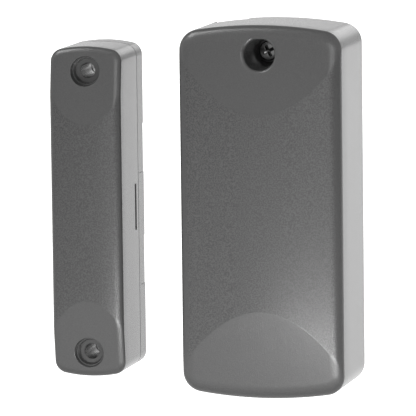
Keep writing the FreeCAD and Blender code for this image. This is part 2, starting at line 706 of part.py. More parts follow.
def capacitor():
    """Round buffer capacitor on a square foot with two cut corners."""
    r = CAPACITOR_RADIUS
    foot = block(CAPACITOR_X - r, CAPACITOR_X + r, BOARD_FRONT, BOARD_FRONT + CAPACITOR_FOOT,
                 CAPACITOR_Z - r, CAPACITOR_Z + r)
    corners = [e for e in foot.Edges if abs(e.BoundBox.YLength - CAPACITOR_FOOT) < 1e-3
               and e.BoundBox.Center.z > CAPACITOR_Z]
    foot = foot.makeChamfer(r * 0.3, corners)
    near, far = BOARD_FRONT + CAPACITOR_FOOT, BOARD_FRONT + CAPACITOR_HEIGHT
    can = rod(CAPACITOR_X, CAPACITOR_Z, r * 0.95, near, far)
    can = can.makeFillet(r * 0.15, edges_at(can, far))
    return can.fuse(foot)


def pin_header():
    """Two square pins in a plastic strip, for a jumper."""
    half = PIN_PITCH / 2
    strip = block(HEADER_X - 2 * half, HEADER_X + 2 * half, BOARD_FRONT, BOARD_FRONT + HEADER_HEIGHT,
                  HEADER_Z - half, HEADER_Z + half)
    side = PIN_SIDE / 2
    pins = [block(x - side, x + side, BOARD_FRONT + HEADER_HEIGHT, BOARD_FRONT + HEADER_HEIGHT + PIN_LENGTH,
                  HEADER_Z - side, HEADER_Z + side)
            for x in (HEADER_X - half, HEADER_X + half)]
    return fuse(strip, pins)


def status_led():
    """Small surface light for the walk test, with a lens on its body."""
    half = LED_LENGTH / 2
    body = block(LED_X - LED_WIDTH / 2, LED_X + LED_WIDTH / 2, BOARD_FRONT, BOARD_FRONT + LED_HEIGHT * 0.5,
                 LED_Z - half, LED_Z + half)
    lens = block(LED_X - LED_WIDTH / 2, LED_X + LED_WIDTH / 2, BOARD_FRONT + LED_HEIGHT * 0.5,
                 BOARD_FRONT + LED_HEIGHT, LED_Z - half * 0.6, LED_Z + half * 0.6)
    return body.fuse(lens)


def antenna_wire():
    """Stiff wire aerial: out of the board, up past its edge, then across above the board."""
    r = ANTENNA_BEND
    x, z = ANTENNA_X, ANTENNA_Z
    high = z + ANTENNA_RISE
    k = r * (1 - math.sqrt(0.5))
    a = V(x, -BOARD_FRONT, z)
    b = V(x, -ANTENNA_DEPTH + r, z)
    c = V(x, -ANTENNA_DEPTH, z + r)
    d = V(x, -ANTENNA_DEPTH, high - r)
    e = V(x - r, -ANTENNA_DEPTH, high)
    f = V(x - ANTENNA_RUN, -ANTENNA_DEPTH, high)
    path = Part.Wire([
        Part.LineSegment(a, b).toShape(),
        Part.Arc(b, V(x, -ANTENNA_DEPTH + k, z + k), c).toShape(),
        Part.LineSegment(c, d).toShape(),
        Part.Arc(d, V(x - k, -ANTENNA_DEPTH, high - k), e).toShape(),
        Part.LineSegment(e, f).toShape()])
    return tube_along(path, a, V(0, -1, 0), ANTENNA_RADIUS)


def magnet_front():
    """Depth of the magnet's front face: it lies against the inside of the cover."""
    return MAGNET.front(MAGNET_LENGTH / 2, M_WALL) - magnet_sag() - MAGNET_CLEARANCE


def magnet_sag():
    """How far the inside of the crown falls back over the width of the magnet and its cradle."""
    half = MAGNET_WIDTH / 2 + MAGNET_CLEARANCE
    big = M_CROWN_RADIUS - M_WALL
    return big - math.sqrt(big ** 2 - half ** 2)


def magnet_cover():
    """Crowned shell: two sunk screw tubes, a slot in each side, a pry notch at each end and a cradle."""
    h = MAGNET
    inside = h.body(M_WALL).common(h.prism(0, M_BASE_DEPTH, h.depth + 1))
    shell = h.body().common(h.prism(0, M_BASE_DEPTH, h.depth + 1))
    shell = shell.makeChamfer(SEAM_CHAMFER, edges_at(shell, M_BASE_DEPTH))
    shell = shell.cut(inside)
    inner = []
    holes = wall_holes(M_HOLE_SPACING, 0.0)
    mouth = h.front(holes[0])
    floor = mouth - SINK_DEPTH
    for z in holes:
        cup = rod(0, z, SINK_MOUTH_RADIUS + SINK_WALL, floor - M_WALL, mouth)
        tube = rod(0, z, M_TUBE_RADIUS, M_TUBE_JOINT, floor)
        inner += [cup.common(inside), tube]
    half_w = MAGNET_WIDTH / 2 + MAGNET_CLEARANCE
    half_l = MAGNET_LENGTH / 2 + MAGNET_CLEARANCE
    back = magnet_front() - CRADLE_HEIGHT
    frame = block(-half_w - CRADLE_WALL, half_w + CRADLE_WALL, back, h.depth, -half_l - CRADLE_WALL,
                  half_l + CRADLE_WALL)
    frame = frame.cut(block(-half_w, half_w, back, h.depth, -half_l, half_l))
    inner.append(frame.common(inside))
    shell = fuse(shell, inner)
    for z in holes:
        shell = shell.cut(sink(z, floor, mouth)).cut(rod(0, z, WALL_HOLE_RADIUS, 0, floor))
    slot = block(-h.half_width - 1, h.half_width + 1, SLOT_DEPTH - SLOT_WIDTH / 2,
                 SLOT_DEPTH + SLOT_WIDTH / 2, -SLOT_LENGTH / 2, SLOT_LENGTH / 2)
    core = block(-h.half_width + M_WALL, h.half_width - M_WALL, 0, h.depth, -SLOT_LENGTH, SLOT_LENGTH)
    notch = block(-PRY_LENGTH / 2, PRY_LENGTH / 2, 0, M_BASE_DEPTH + PRY_WIDTH, -h.half_height, h.half_height)
    middle = block(-PRY_LENGTH, PRY_LENGTH, 0, h.depth, -h.half_height + M_WALL + M_END_RISE,
                   h.half_height - M_WALL - M_END_RISE)
    return shell.cut(slot.cut(core)).cut(notch.cut(middle))


def sink(z, floor, mouth):
    """The space of one sunk screw hole: it narrows as it goes in, with a small step part way down."""
    middle = (SINK_MOUTH_RADIUS + SINK_FLOOR_RADIUS) / 2
    step = mouth - SINK_STEP_DEPTH
    beyond = MAGNET.depth + 1
    low = taper(0, z, SINK_FLOOR_RADIUS, middle - SINK_STEP / 2, floor, step)
    high = taper(0, z, middle + SINK_STEP / 2, SINK_MOUTH_RADIUS, step, mouth)
    return high.multiFuse([low, rod(0, z, SINK_MOUTH_RADIUS, mouth, beyond)])


def magnet_base():
    """Deep back tray: locating lip, two latches, two screw tubes and two posts behind the magnet."""
    h = MAGNET
    tray = h.prism(0, 0, M_BASE_DEPTH)
    tray = tray.makeChamfer(SEAM_CHAMFER, edges_at(tray, M_BASE_DEPTH))
    tray = tray.cut(h.prism(M_WALL, M_FLOOR, M_BASE_DEPTH))
    lip = h.ring(M_WALL + M_LIP_CLEARANCE, M_LIP_THICKNESS, M_FLOOR, M_BASE_DEPTH + M_LIP_HEIGHT)
    foot = h.ring(M_WALL, M_LIP_THICKNESS, M_FLOOR, M_BASE_DEPTH)
    parts = [foot, lip]
    holes = wall_holes(M_HOLE_SPACING, 0.0)
    back = magnet_front() - MAGNET_THICKNESS - MAGNET_CLEARANCE
    parts += [rod(0, s * MAGNET_POST_OFFSET, MAGNET_POST_RADIUS, M_FLOOR, back) for s in (1, -1)]
    parts += [latch(s) for s in (1, -1)]
    base = fuse(tray, parts)
    # clear the lip where the cover's screw tubes come down, then raise the tray's own tubes to meet them
    room = M_TUBE_RADIUS + M_LIP_CLEARANCE
    for z in holes:
        base = base.cut(rod(0, z, room, M_BASE_DEPTH, M_BASE_DEPTH + M_LIP_HEIGHT + 1))
    base = fuse(base, [rod(0, z, M_TUBE_RADIUS, M_FLOOR, M_TUBE_JOINT) for z in holes])
    for z in holes:
        base = base.cut(rod(0, z, WALL_HOLE_RADIUS, -1, M_TUBE_JOINT + 1))
    for side in (1, -1):
        for end in (1, -1):
            z0 = end * SIDE_PANEL_START
            z1 = z0 + end * SIDE_PANEL_LENGTH
            x = side * h.half_width
            base = base.cut(block(min(x, x - side * SIDE_PANEL_SINK), max(x, x - side * SIDE_PANEL_SINK),
                                  0, M_BASE_DEPTH - SIDE_PANEL_LAND, min(z0, z1), max(z0, z1)))
    return base


def latch(side):
    """Springy blade on one side of the tray, with a nose that stands into the cover's slot."""
    h = MAGNET
    face = h.half_width - M_WALL - M_LIP_CLEARANCE
    far = SLOT_DEPTH + SLOT_WIDTH / 2 - LATCH_CLEARANCE
    near = SLOT_DEPTH - SLOT_WIDTH / 2 + LATCH_CLEARANCE
    half = LATCH_LENGTH / 2
    blade = block(face - LATCH_THICKNESS, face, M_FLOOR, far, -half, half)
    nose = block(face - LATCH_THICKNESS, face + LATCH_NOSE, near, far, -half, half)
    shape = blade.fuse(nose)
    return shape if side > 0 else shape.mirror(V(0, 0, 0), V(1, 0, 0))


def bar_magnet():
    """The plain bar magnet."""
    front = magnet_front()
    half_w, half_l = MAGNET_WIDTH / 2, MAGNET_LENGTH / 2
    bar = block(-half_w, half_w, front - MAGNET_THICKNESS, front, -half_l, half_l)
    return bar.makeChamfer(0.4, [e for e in bar.Edges if abs(e.BoundBox.ZLength - MAGNET_LENGTH) < 1e-3])


ON_TRANSMITTER = [
    transmitter_cover, transmitter_base, cover_screw, circuit_board, board_screws, battery_holder,
    battery_cell, positive_contact, negative_contact, reed_switch, reed_leads, tamper_switch,
    tamper_plunger, radio_can, microcontroller, quartz_crystal, terminal_block, terminal_screws,
    capacitor, pin_header, status_led, antenna_wire,
]
ON_MAGNET = [magnet_cover, magnet_base, bar_magnet]


def main():
    """Writes one file for each piece."""
    os.makedirs("parts", exist_ok=True)
    for make in ON_TRANSMITTER + ON_MAGNET:
        shape = make()
        if make in ON_MAGNET:
            shape.translate(V(-M_SPACING, 0, -M_DROP))
        shape.exportStep(os.path.join("parts", make.__name__ + ".step"))
        print(make.__name__, "solids", len(shape.Solids), "valid", shape.isValid())


main()
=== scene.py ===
"""Looks of the wireless magnetic contact: a transmitter housing and its magnet housing in dark grey ABS.

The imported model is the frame. The housings' shells are worked out again as smooth surfaces, and every
other piece keeps its solid and gets a finish. Lengths are in millimetres until a mesh is written.
"""

import logging
import math
from dataclasses import dataclass, field
from enum import Enum
from functools import cached_property

import bmesh
import bpy
import numpy as np
from mathutils import Matrix, Vector


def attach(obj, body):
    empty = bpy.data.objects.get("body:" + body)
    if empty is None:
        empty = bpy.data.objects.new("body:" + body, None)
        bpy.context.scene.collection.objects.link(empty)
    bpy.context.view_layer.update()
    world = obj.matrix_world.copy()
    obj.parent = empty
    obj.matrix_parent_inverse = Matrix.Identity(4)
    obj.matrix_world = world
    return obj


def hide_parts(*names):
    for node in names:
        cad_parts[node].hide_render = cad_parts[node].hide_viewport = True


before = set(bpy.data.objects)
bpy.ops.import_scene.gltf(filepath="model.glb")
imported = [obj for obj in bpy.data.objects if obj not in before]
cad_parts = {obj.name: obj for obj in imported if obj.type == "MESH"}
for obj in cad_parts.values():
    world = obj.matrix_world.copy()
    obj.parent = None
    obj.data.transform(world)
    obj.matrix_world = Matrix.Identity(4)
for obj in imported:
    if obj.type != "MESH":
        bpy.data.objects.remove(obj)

LOG = logging.getLogger("magnetic_contact")
MM = 0.001
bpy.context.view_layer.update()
BODY = "contact"
WHITE = (1.0, 1.0, 1.0, 1.0)
Array = np.ndarray
Arrays = tuple[np.ndarray, np.ndarray]
Row = tuple[float, ...]
Pair = tuple[float, float]
Triple = tuple[float, float, float]
Colour = tuple[float, float, float, float]
Tree = bpy.types.NodeTree
Socket = bpy.types.NodeSocket
Feed = Socket | float


# Colours and nodes


def linear(code: str) -> Colour:
    """Turns an sRGB hex colour into linear values.

    Args:
        code: Six hex digits after a hash.

    Returns:
        Red, green, blue and an alpha of one.
    """
    parts = [int(code[i:i + 2], 16) / 255 for i in (1, 3, 5)]
    bent = [c / 12.92 if c <= 0.04045 else ((c + 0.055) / 1.055) ** 2.4 for c in parts]
    return (bent[0], bent[1], bent[2], 1.0)


def add_node(tree: Tree, kind: str, inputs: dict | None = None, **settings) -> bpy.types.Node:
    """Adds one node to a tree.

    Args:
        tree: The tree that gets it.
        kind: The node's type name without its prefix.
        inputs: Input name or index, to a value or to the output socket that feeds it.
        settings: Input values by name with underscores for spaces, or the node's own attributes.

    Returns:
        The new node.
    """
    node = tree.nodes.new("ShaderNode" + kind)
    for key, value in settings.items():
        if hasattr(node, key):
            setattr(node, key, value)
        else:
            node.inputs[key.replace("_", " ")].default_value = value
    for key, value in (inputs or {}).items():
        if isinstance(value, Socket):
            tree.links.new(value, node.inputs[key])
        else:
            node.inputs[key].default_value = value
    return node


def maths(tree: Tree, operation: str, *values: Feed, clamp: bool = False) -> Socket:
    """Adds a Math node on numbers or sockets, and returns its result."""
    return add_node(tree, "Math", dict(enumerate(values)), operation=operation, use_clamp=clamp).outputs[0]


def blend(tree: Tree, factor: Feed, first: Feed, second: Feed) -> Socket:
    """Mixes two numbers by a factor, and returns the result."""
    return add_node(tree, "Mix", {0: factor, 2: first, 3: second}, data_type="FLOAT").outputs[0]


def tinted(tree: Tree, factor: Feed, first: Colour, second: Colour) -> Socket:
    """Mixes two colours by a factor, and returns the result."""
    return add_node(tree, "Mix", {0: factor, 6: first, 7: second}, data_type="RGBA").outputs[2]


def ramped(tree: Tree, value: Socket, start: float, end: float, low: float = 0.0,
           high: float = 1.0) -> Socket:
    """Carries a value from between start and end to between low and high, and holds it past both."""
    return add_node(tree, "MapRange", {"Value": value, "From Min": start, "From Max": end, "To Min": low,
                                       "To Max": high}).outputs[0]


def noise(tree: Tree, where: Socket, size_mm: float, **settings) -> Socket:
    """Adds a noise whose features are about that many millimetres across, and returns its value."""
    return add_node(tree, "TexNoise", {"Vector": where}, Scale=1.0 / (size_mm * MM),
                    **settings).outputs["Fac"]


def emboss(tree: Tree, height: Socket, distance: float, strength: float = 1.0) -> Socket:
    """Adds a Bump node for a height that counts for that distance in metres, and returns its normal."""
    return add_node(tree, "Bump", {"Height": height}, Strength=strength, Distance=distance).outputs[0]


def shade(tree: Tree, inputs: dict, **settings) -> None:
    """Adds the Principled shader with its inputs that vary and its even settings, and the output."""
    shader = add_node(tree, "BsdfPrincipled", inputs, **settings)
    add_node(tree, "OutputMaterial", {"Surface": shader.outputs[0]})


# Finishes


GRAIN_DETAIL = 2.0


class Finish:
    """A surface that becomes a material: every kind paints nodes of its own."""

    name: str

    def paint(self, tree: Tree, where: Socket) -> None:
        """Adds the finish's nodes to a tree, by its Object coordinates."""
        raise NotImplementedError

    def build(self) -> bpy.types.Material:
        """Makes the material."""
        material = bpy.data.materials.new(self.name)
        material.use_nodes = True
        tree = material.node_tree
        tree.nodes.clear()
        self.paint(tree, add_node(tree, "TexCoord").outputs["Object"])
        return material


@dataclass(frozen=True)
class SparkErodedAbs(Finish):
    """Acrylonitrile butadiene styrene, moulded against a spark eroded steel tool.

    The tool's craters leave a fine pebbled grain, which breaks every reflection into points and makes
    the face look matt straight on and bright along its edges. The crown has the coarse grain, and the
    end facets, edges and walls a finer one: the attribute named fine_grain tells them apart. The colour
    is darkened in the grain's hollows as painted crater shadow, whose speckle also stands in for the grain's
    sparkle.
    """

    name: str = "housing_abs"
    base: str = "#545454"
    pit_shade: str = "#424242"
    pit_shade_range: Pair = (0.42, 0.58)
    roughness: float = 0.24
    coarse_mm: float = 0.36
    fine_mm: float = 0.3
    coarse_height_mm: float = 0.032
    fine_height_mm: float = 0.022
    coarse_detail: float = 3.0
    coarse_roughness: float = 0.6
    ior: float = 1.53

    def paint(self, tree: Tree, where: Socket) -> None:
        """Blends the two grains in height, and in a tint of painted shade in their hollows."""
        coarse = noise(tree, where, self.coarse_mm, Detail=self.coarse_detail,
                       Roughness=self.coarse_roughness)
        fine = noise(tree, where, self.fine_mm, Detail=GRAIN_DETAIL)
        which = add_node(tree, "Attribute", attribute_name="fine_grain").outputs["Fac"]
        height = blend(tree, which, maths(tree, "MULTIPLY", coarse, self.coarse_height_mm * MM),
                       maths(tree, "MULTIPLY", fine, self.fine_height_mm * MM))
        # Painted shade: the base colour darkens towards the pit shade colour in the grain's hollows, a
        # painted crater shadow whose speckle stands in for sparkle.
        level = blend(tree, which, ramped(tree, coarse, *self.pit_shade_range), fine)
        shade(tree, {"Base Color": tinted(tree, level, linear(self.pit_shade), linear(self.base)),
                     "Normal": emboss(tree, height, 1.0)}, Roughness=self.roughness, IOR=self.ior)


@dataclass(frozen=True)
class Moulding(Finish):
    """Any plain moulded plastic: one colour with a faint cloud, a satin skin and very fine grain."""

    name: str
    base: str
    roughness: float = 0.45
    grain_mm: float = 0.3
    height_mm: float = 0.004
    cloud_mm: float = 6.0
    darker: float = 0.9
    ior: float = 1.5

    def paint(self, tree: Tree, where: Socket) -> None:
        """Clouds the colour and embosses the grain."""
        colour = linear(self.base)
        dark = tuple(c * self.darker for c in colour[:3]) + (1.0,)
        grain = noise(tree, where, self.grain_mm, Detail=GRAIN_DETAIL)
        shade(tree, {"Base Color": tinted(tree, noise(tree, where, self.cloud_mm), colour, dark),
                     "Normal": emboss(tree, grain, self.height_mm * MM)},
              Roughness=self.roughness, IOR=self.ior)


@dataclass(frozen=True)
class PlatedMetal(Finish):
    """Plated or drawn metal: fine streaks of roughness left by rolling and plating."""

    name: str
    base: str
    roughness: float = 0.28
    streak_mm: float = 0.15
    streak_detail: float = 3.0
    stretch: float = 0.12
    spread: float = 0.12
    height_mm: float = 0.002
    bump_strength: float = 0.4

    def paint(self, tree: Tree, where: Socket) -> None:
        """Draws the streaks along Z, in roughness and in height."""
        drawn = add_node(tree, "Mapping", {"Vector": where}, Scale=(1.0, 1.0, self.stretch))
        streak = noise(tree, drawn.outputs[0], self.streak_mm, Detail=self.streak_detail)
        shade(tree, {"Roughness": ramped(tree, streak, 0.0, 1.0, self.roughness - self.spread / 2,
                                         self.roughness + self.spread / 2),
                     "Normal": emboss(tree, streak, self.height_mm * MM, self.bump_strength)},
              Base_Color=linear(self.base), Metallic=1.0)


@dataclass(frozen=True)
class ReedGlass(Finish):
    """Soda lead glass, tinted green so that an infrared lamp can seal its ends."""

    name: str = "reed_glass"
    base: str = "#9cc79a"
    roughness: float = 0.04
    ior: float = 1.52
    clear: float = 0.9
    wave_mm: float = 2.0
    wave_height_mm: float = 0.01
    bump_strength: float = 0.3

    def paint(self, tree: Tree, where: Socket) -> None:
        """Gives the drawn tube its slight waves."""
        wave = noise(tree, where, self.wave_mm)
        shade(tree, {"Normal": emboss(tree, wave, self.wave_height_mm * MM, self.bump_strength)},
              Base_Color=linear(self.base), Roughness=self.roughness, IOR=self.ior,
              Transmission_Weight=self.clear)


@dataclass(frozen=True)
class PaintedFloor(Finish):
    """Pale matt floor, which glows a little for the camera so that it reads as white.

    What the object mirrors of it is set apart from that. mirrored gives its strength in a mirror by Y in
    metres, and left and right are the X between which that fades out at both sides, to least on the left.
    Over white, a range of Y behind the object, it turns white in a mirror.
    """

    name: str = "painted_floor"
    base: str = "#c6c6c6"
    cloud: str = "#c9c9c9"
    cloud_mm: float = 1000.0 / 3.0
    roughness: float = 0.9
    seen: float = 0.9
    mirrored: tuple[Pair, ...] = (
        (-1.0, 0.6), (-0.75, 0.6), (-0.50, 0.45), (-0.30, 1.0), (-0.10, 1.0), (-0.05, 0.3))
    left: Pair = (-0.55, -0.20)
    right: Pair = (0.28, 0.10)
    least: float = 0.3
    white: Pair = (-0.05, 0.02)

    def paint(self, tree: Tree, where: Socket) -> None:
        """Clouds the paint and sets the glow for the camera and for mirrors."""
        side = add_node(tree, "SeparateXYZ", {0: where}).outputs
        near, far = self.mirrored[0][0], self.mirrored[-1][0]
        ramp = add_node(tree, "ValToRGB", {0: ramped(tree, side["Y"], near, far)})
        stops = ramp.color_ramp.elements
        for _ in self.mirrored[2:]:
            stops.new(0.5)
        for stop, (y, level) in zip(stops, self.mirrored):
            stop.position = (y - near) / (far - near)
            stop.color = (level, level, level, 1.0)
        reach = maths(tree, "MULTIPLY", ramped(tree, side["X"], *self.left, self.least),
                      ramped(tree, side["X"], *self.right))
        mirror = maths(tree, "MULTIPLY_ADD", ramp.outputs[0], reach, ramped(tree, side["Y"], *self.white),
                       clamp=True)
        path = add_node(tree, "LightPath").outputs
        glow = maths(tree, "MULTIPLY_ADD", path["Is Glossy Ray"], mirror,
                     maths(tree, "MULTIPLY", path["Is Camera Ray"], self.seen))
        cloud = noise(tree, where, self.cloud_mm)
        shade(tree, {"Base Color": tinted(tree, cloud, linear(self.base), linear(self.cloud)),
                     "Emission Strength": glow}, Roughness=self.roughness, Emission_Color=WHITE)


# Slots and their finishes


class Slot(Enum):
    """The record's material slots: their name there, their finish and the nodes that keep their solid."""

    HOUSING = "housing_abs", SparkErodedAbs()
    BACK_PLATE = "back_plate_abs", Moulding("back_plate_abs", "#585858"), "transmitter_base"
    TRAY = "tray_abs", Moulding("tray_abs", "#505050", roughness=0.27, height_mm=0.022), "magnet_base"
    BLACK_SCREW = "black_screw_steel", PlatedMetal("black_zinc_steel", "#6c6c6c", roughness=0.17)
    ZINC_SCREW = ("zinc_screw_steel", PlatedMetal("zinc_plated_steel", "#c4c6c6"),
                  "board_screws", "terminal_screws")
    SOLDER_MASK = ("solder_mask", Moulding("solder_mask", "#1f6b38", roughness=0.25, grain_mm=0.8),
                   "circuit_board")
    POLYAMIDE = "black_polyamide", Moulding("black_polyamide", "#262626", roughness=0.5), "battery_holder"
    CELL = ("cell_sleeve", Moulding("shrunk_sleeve", "#d9d8cf", roughness=0.2, height_mm=0.002),
            "battery_cell")
    NICKEL = ("nickel_strip", PlatedMetal("nickel_plated_strip", "#d3cdc2", roughness=0.2),
              "positive_contact", "negative_contact")
    GLASS = "reed_glass", ReedGlass(), "reed_switch"
    TINNED = "tinned_wire", PlatedMetal("tinned_wire", "#cfcfcb", roughness=0.32), "reed_leads"
    SWITCH = "switch_black", Moulding("switch_body", "#222222", roughness=0.35), "tamper_switch"
    PLUNGER = "plunger_white", Moulding("white_acetal", "#e6e5df", roughness=0.3), "tamper_plunger"
    TINPLATE = "tinplate", PlatedMetal("pressed_tinplate", "#c9c9c6", roughness=0.24), "radio_can"
    EPOXY = ("chip_epoxy", Moulding("moulded_epoxy", "#232324", roughness=0.6, grain_mm=0.12),
             "microcontroller")
    CRYSTAL = "crystal_steel", PlatedMetal("drawn_steel_can", "#d0d0d0", roughness=0.22), "quartz_crystal"
    TERMINAL = "terminal_green", Moulding("green_polyamide", "#2f8f55", roughness=0.4), "terminal_block"
    CAPACITOR = ("capacitor_aluminium", PlatedMetal("bright_aluminium_can", "#d2d3d6", roughness=0.2),
                 "capacitor")
    HEADER = "header_black", Moulding("header_plastic", "#242424", roughness=0.5), "pin_header"
    LENS = "led_resin", Moulding("red_resin", "#d8472f", roughness=0.12, height_mm=0.001), "status_led"
    COPPER = "enamelled_copper", PlatedMetal("enamelled_copper", "#b4693c", roughness=0.2), "antenna_wire"
    FERRITE = "ferrite", Moulding("ground_ferrite", "#46464a", roughness=0.55, grain_mm=0.08), "bar_magnet"

    def __init__(self, code: str, finish: Finish, *kept: str) -> None:
        self.code = code
        self.finish = finish
        self.kept = kept

    @cached_property
    def material(self) -> bpy.types.Material:
        """The finish as a material, built when it is first asked for."""
        return self.finish.build()


def dress(thing: bpy.types.Object, slot: Slot) -> None:
    """Makes a slot's finish the only material of a piece."""
    thing.data.materials.clear()
    thing.data.materials.append(slot.material)
    LOG.info("%s wears %s", thing.name, slot.code)


def dress_kept() -> None:
    """Dresses the pieces whose solids are already right and stay as they are."""
    for slot in Slot:
        for node in slot.kept:
            dress(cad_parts[node], slot)


def replace(thing: bpy.types.Object, slot: Slot, node: str) -> None:
    """Dresses a piece that takes a node's place, hides the node and attaches the piece to its body."""
    dress(thing, slot)
    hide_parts(node)
    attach(thing, BODY)


# Mesh building


@dataclass
class MeshDraft:
    """Points and faces that grow block by block until they are written as one mesh."""

    points: list[Array] = field(default_factory=list)
    quads: list[Array] = field(default_factory=list)
    triangles: list[Array] = field(default_factory=list)
    count: int = 0

    def add(self, xyz: Array) -> Array:
        """Adds an array of points whose last axis is x, y, z.

        Returns:
            Their indices, in the same shape without the last axis.
        """
        shape = xyz.shape[:-1]
        flat = xyz.reshape(-1, 3)
        index = np.arange(self.count, self.count + len(flat)).reshape(shape)
        self.points.append(flat)
        self.count += len(flat)
        return index

    def add_at(self, xz: Array, depth: Array) -> Array:
        """Adds points given by their x and z and by their depth from the wall."""
        return self.add(np.stack([xz[..., 0], -depth, xz[..., 1]], axis=-1))

    def skin(self, index: Array, closed: bool = False, keep: Array | None = None) -> None:
        """Joins a grid of indices by faces.

        Args:
            index: Rows by columns of point indices.
            closed: Whether the last column joins the first.
            keep: Which cells get a face, one value for each cell.
        """
        if closed:
            index = np.concatenate([index, index[:, :1]], axis=1)
        cells = np.stack([index[:-1, :-1], index[:-1, 1:], index[1:, 1:], index[1:, :-1]], axis=-1)
        self.quads.append(cells[keep] if keep is not None else cells.reshape(-1, 4))

    def fan(self, ring: Array, centre: Array) -> None:
        """Closes a ring with triangles round one middle point."""
        middle = self.add(centre)
        self.triangles.append(np.stack([ring, np.roll(ring, -1), np.full(len(ring), middle)], axis=-1))

    def loft(self, loops: Array) -> Array:
        """Adds closed loops of points and the bands between them, and returns their indices."""
        index = self.add(loops)
        self.skin(index, closed=True)
        return index

    def capped(self, loops: Array) -> None:
        """Adds closed loops, the bands between them and a fan over each end."""
        index = self.loft(loops)
        self.fan(index[0], loops[0].mean(axis=0))
        self.fan(index[-1], loops[-1].mean(axis=0))

    def mesh(self, name: str, sharp_degrees: float = 32.0) -> bpy.types.Object:
        """Writes the mesh with its faces outwards, smooth but for edges past an angle.

        Args:
            name: Name of the object and of its mesh.
            sharp_degrees: Edges that bend more than this stay sharp.

        Returns:
            The object, at the origin.
        """
        blocks = self.quads + self.triangles
        faces = [face for block in blocks for face in block.reshape(-1, block.shape[-1]).tolist()]
        mesh = bpy.data.meshes.new(name)
        mesh.from_pydata((np.concatenate(self.points) * MM).tolist(), [], faces)
        net = bmesh.new()
        net.from_mesh(mesh)
        bmesh.ops.recalc_face_normals(net, faces=net.faces)
        net.to_mesh(mesh)
        net.free()
        mesh.shade_smooth()
        mesh.set_sharp_from_angle(angle=math.radians(sharp_degrees))
        mesh.update()
        return put_in_scene(name, mesh)


def put_in_scene(name: str, data: bpy.types.ID) -> bpy.types.Object:
    """Makes an object of a mesh, a lamp or a camera, and links it to the scene."""
    thing = bpy.data.objects.new(name, data)
    bpy.context.scene.collection.objects.link(thing)
    return thing


def full_turn(count: int) -> Array:
    """Gives that many angles, evenly all the way round."""
    return np.linspace(0, 2 * math.pi, count + 1)[:-1]


def steps(*spans: tuple[float, float, int]) -> Array:
    """Runs of evenly spaced values, joined without doubles.

    Args:
        spans: First value, last value and number of intervals of each run.

    Returns:
        All values in order.
    """
    runs = [np.linspace(a, b, n + 1)[:-1] for a, b, n in spans]
    return np.concatenate(runs + [[spans[-1][1]]])


def rows_with(marks: Row, count: int, gap: float, clear: float = 0.01) -> Row:
    """Evenly spaced fractions from -1 to 1, with a row at each mark and a close one beside both ends.

    Args:
        marks: Fractions that need a crisp line.
        count: Number of even intervals.
        gap: Distance between an end and the row beside it.
        clear: Even rows nearer than this to a mark are left out.

    Returns:
        All fractions in order.
    """
    even = np.linspace(-1, 1, count + 1)
    for mark in marks:
        even = even[np.abs(even - mark) > clear]
    return tuple(np.unique(np.round(np.concatenate([even, marks, [-1 + gap, 1 - gap]]), 6)))


@dataclass(frozen=True)
class RoundHole:
    """A round hole through an end facet, from the front to the inside of the shell.

    It takes a block of grid cells out of the facet: so many columns on each side of the middle, and so
    many rows from the end. Its profile is a list of radius, depth from the wall, and how much of the
    facet's tilt a ring follows, from one at the facet to nought on a flat floor.
    """

    height: float
    radius: float
    inner_radius: float
    columns: int
    rows: int
    profile: tuple[Triple, ...]
    rings: int = 6


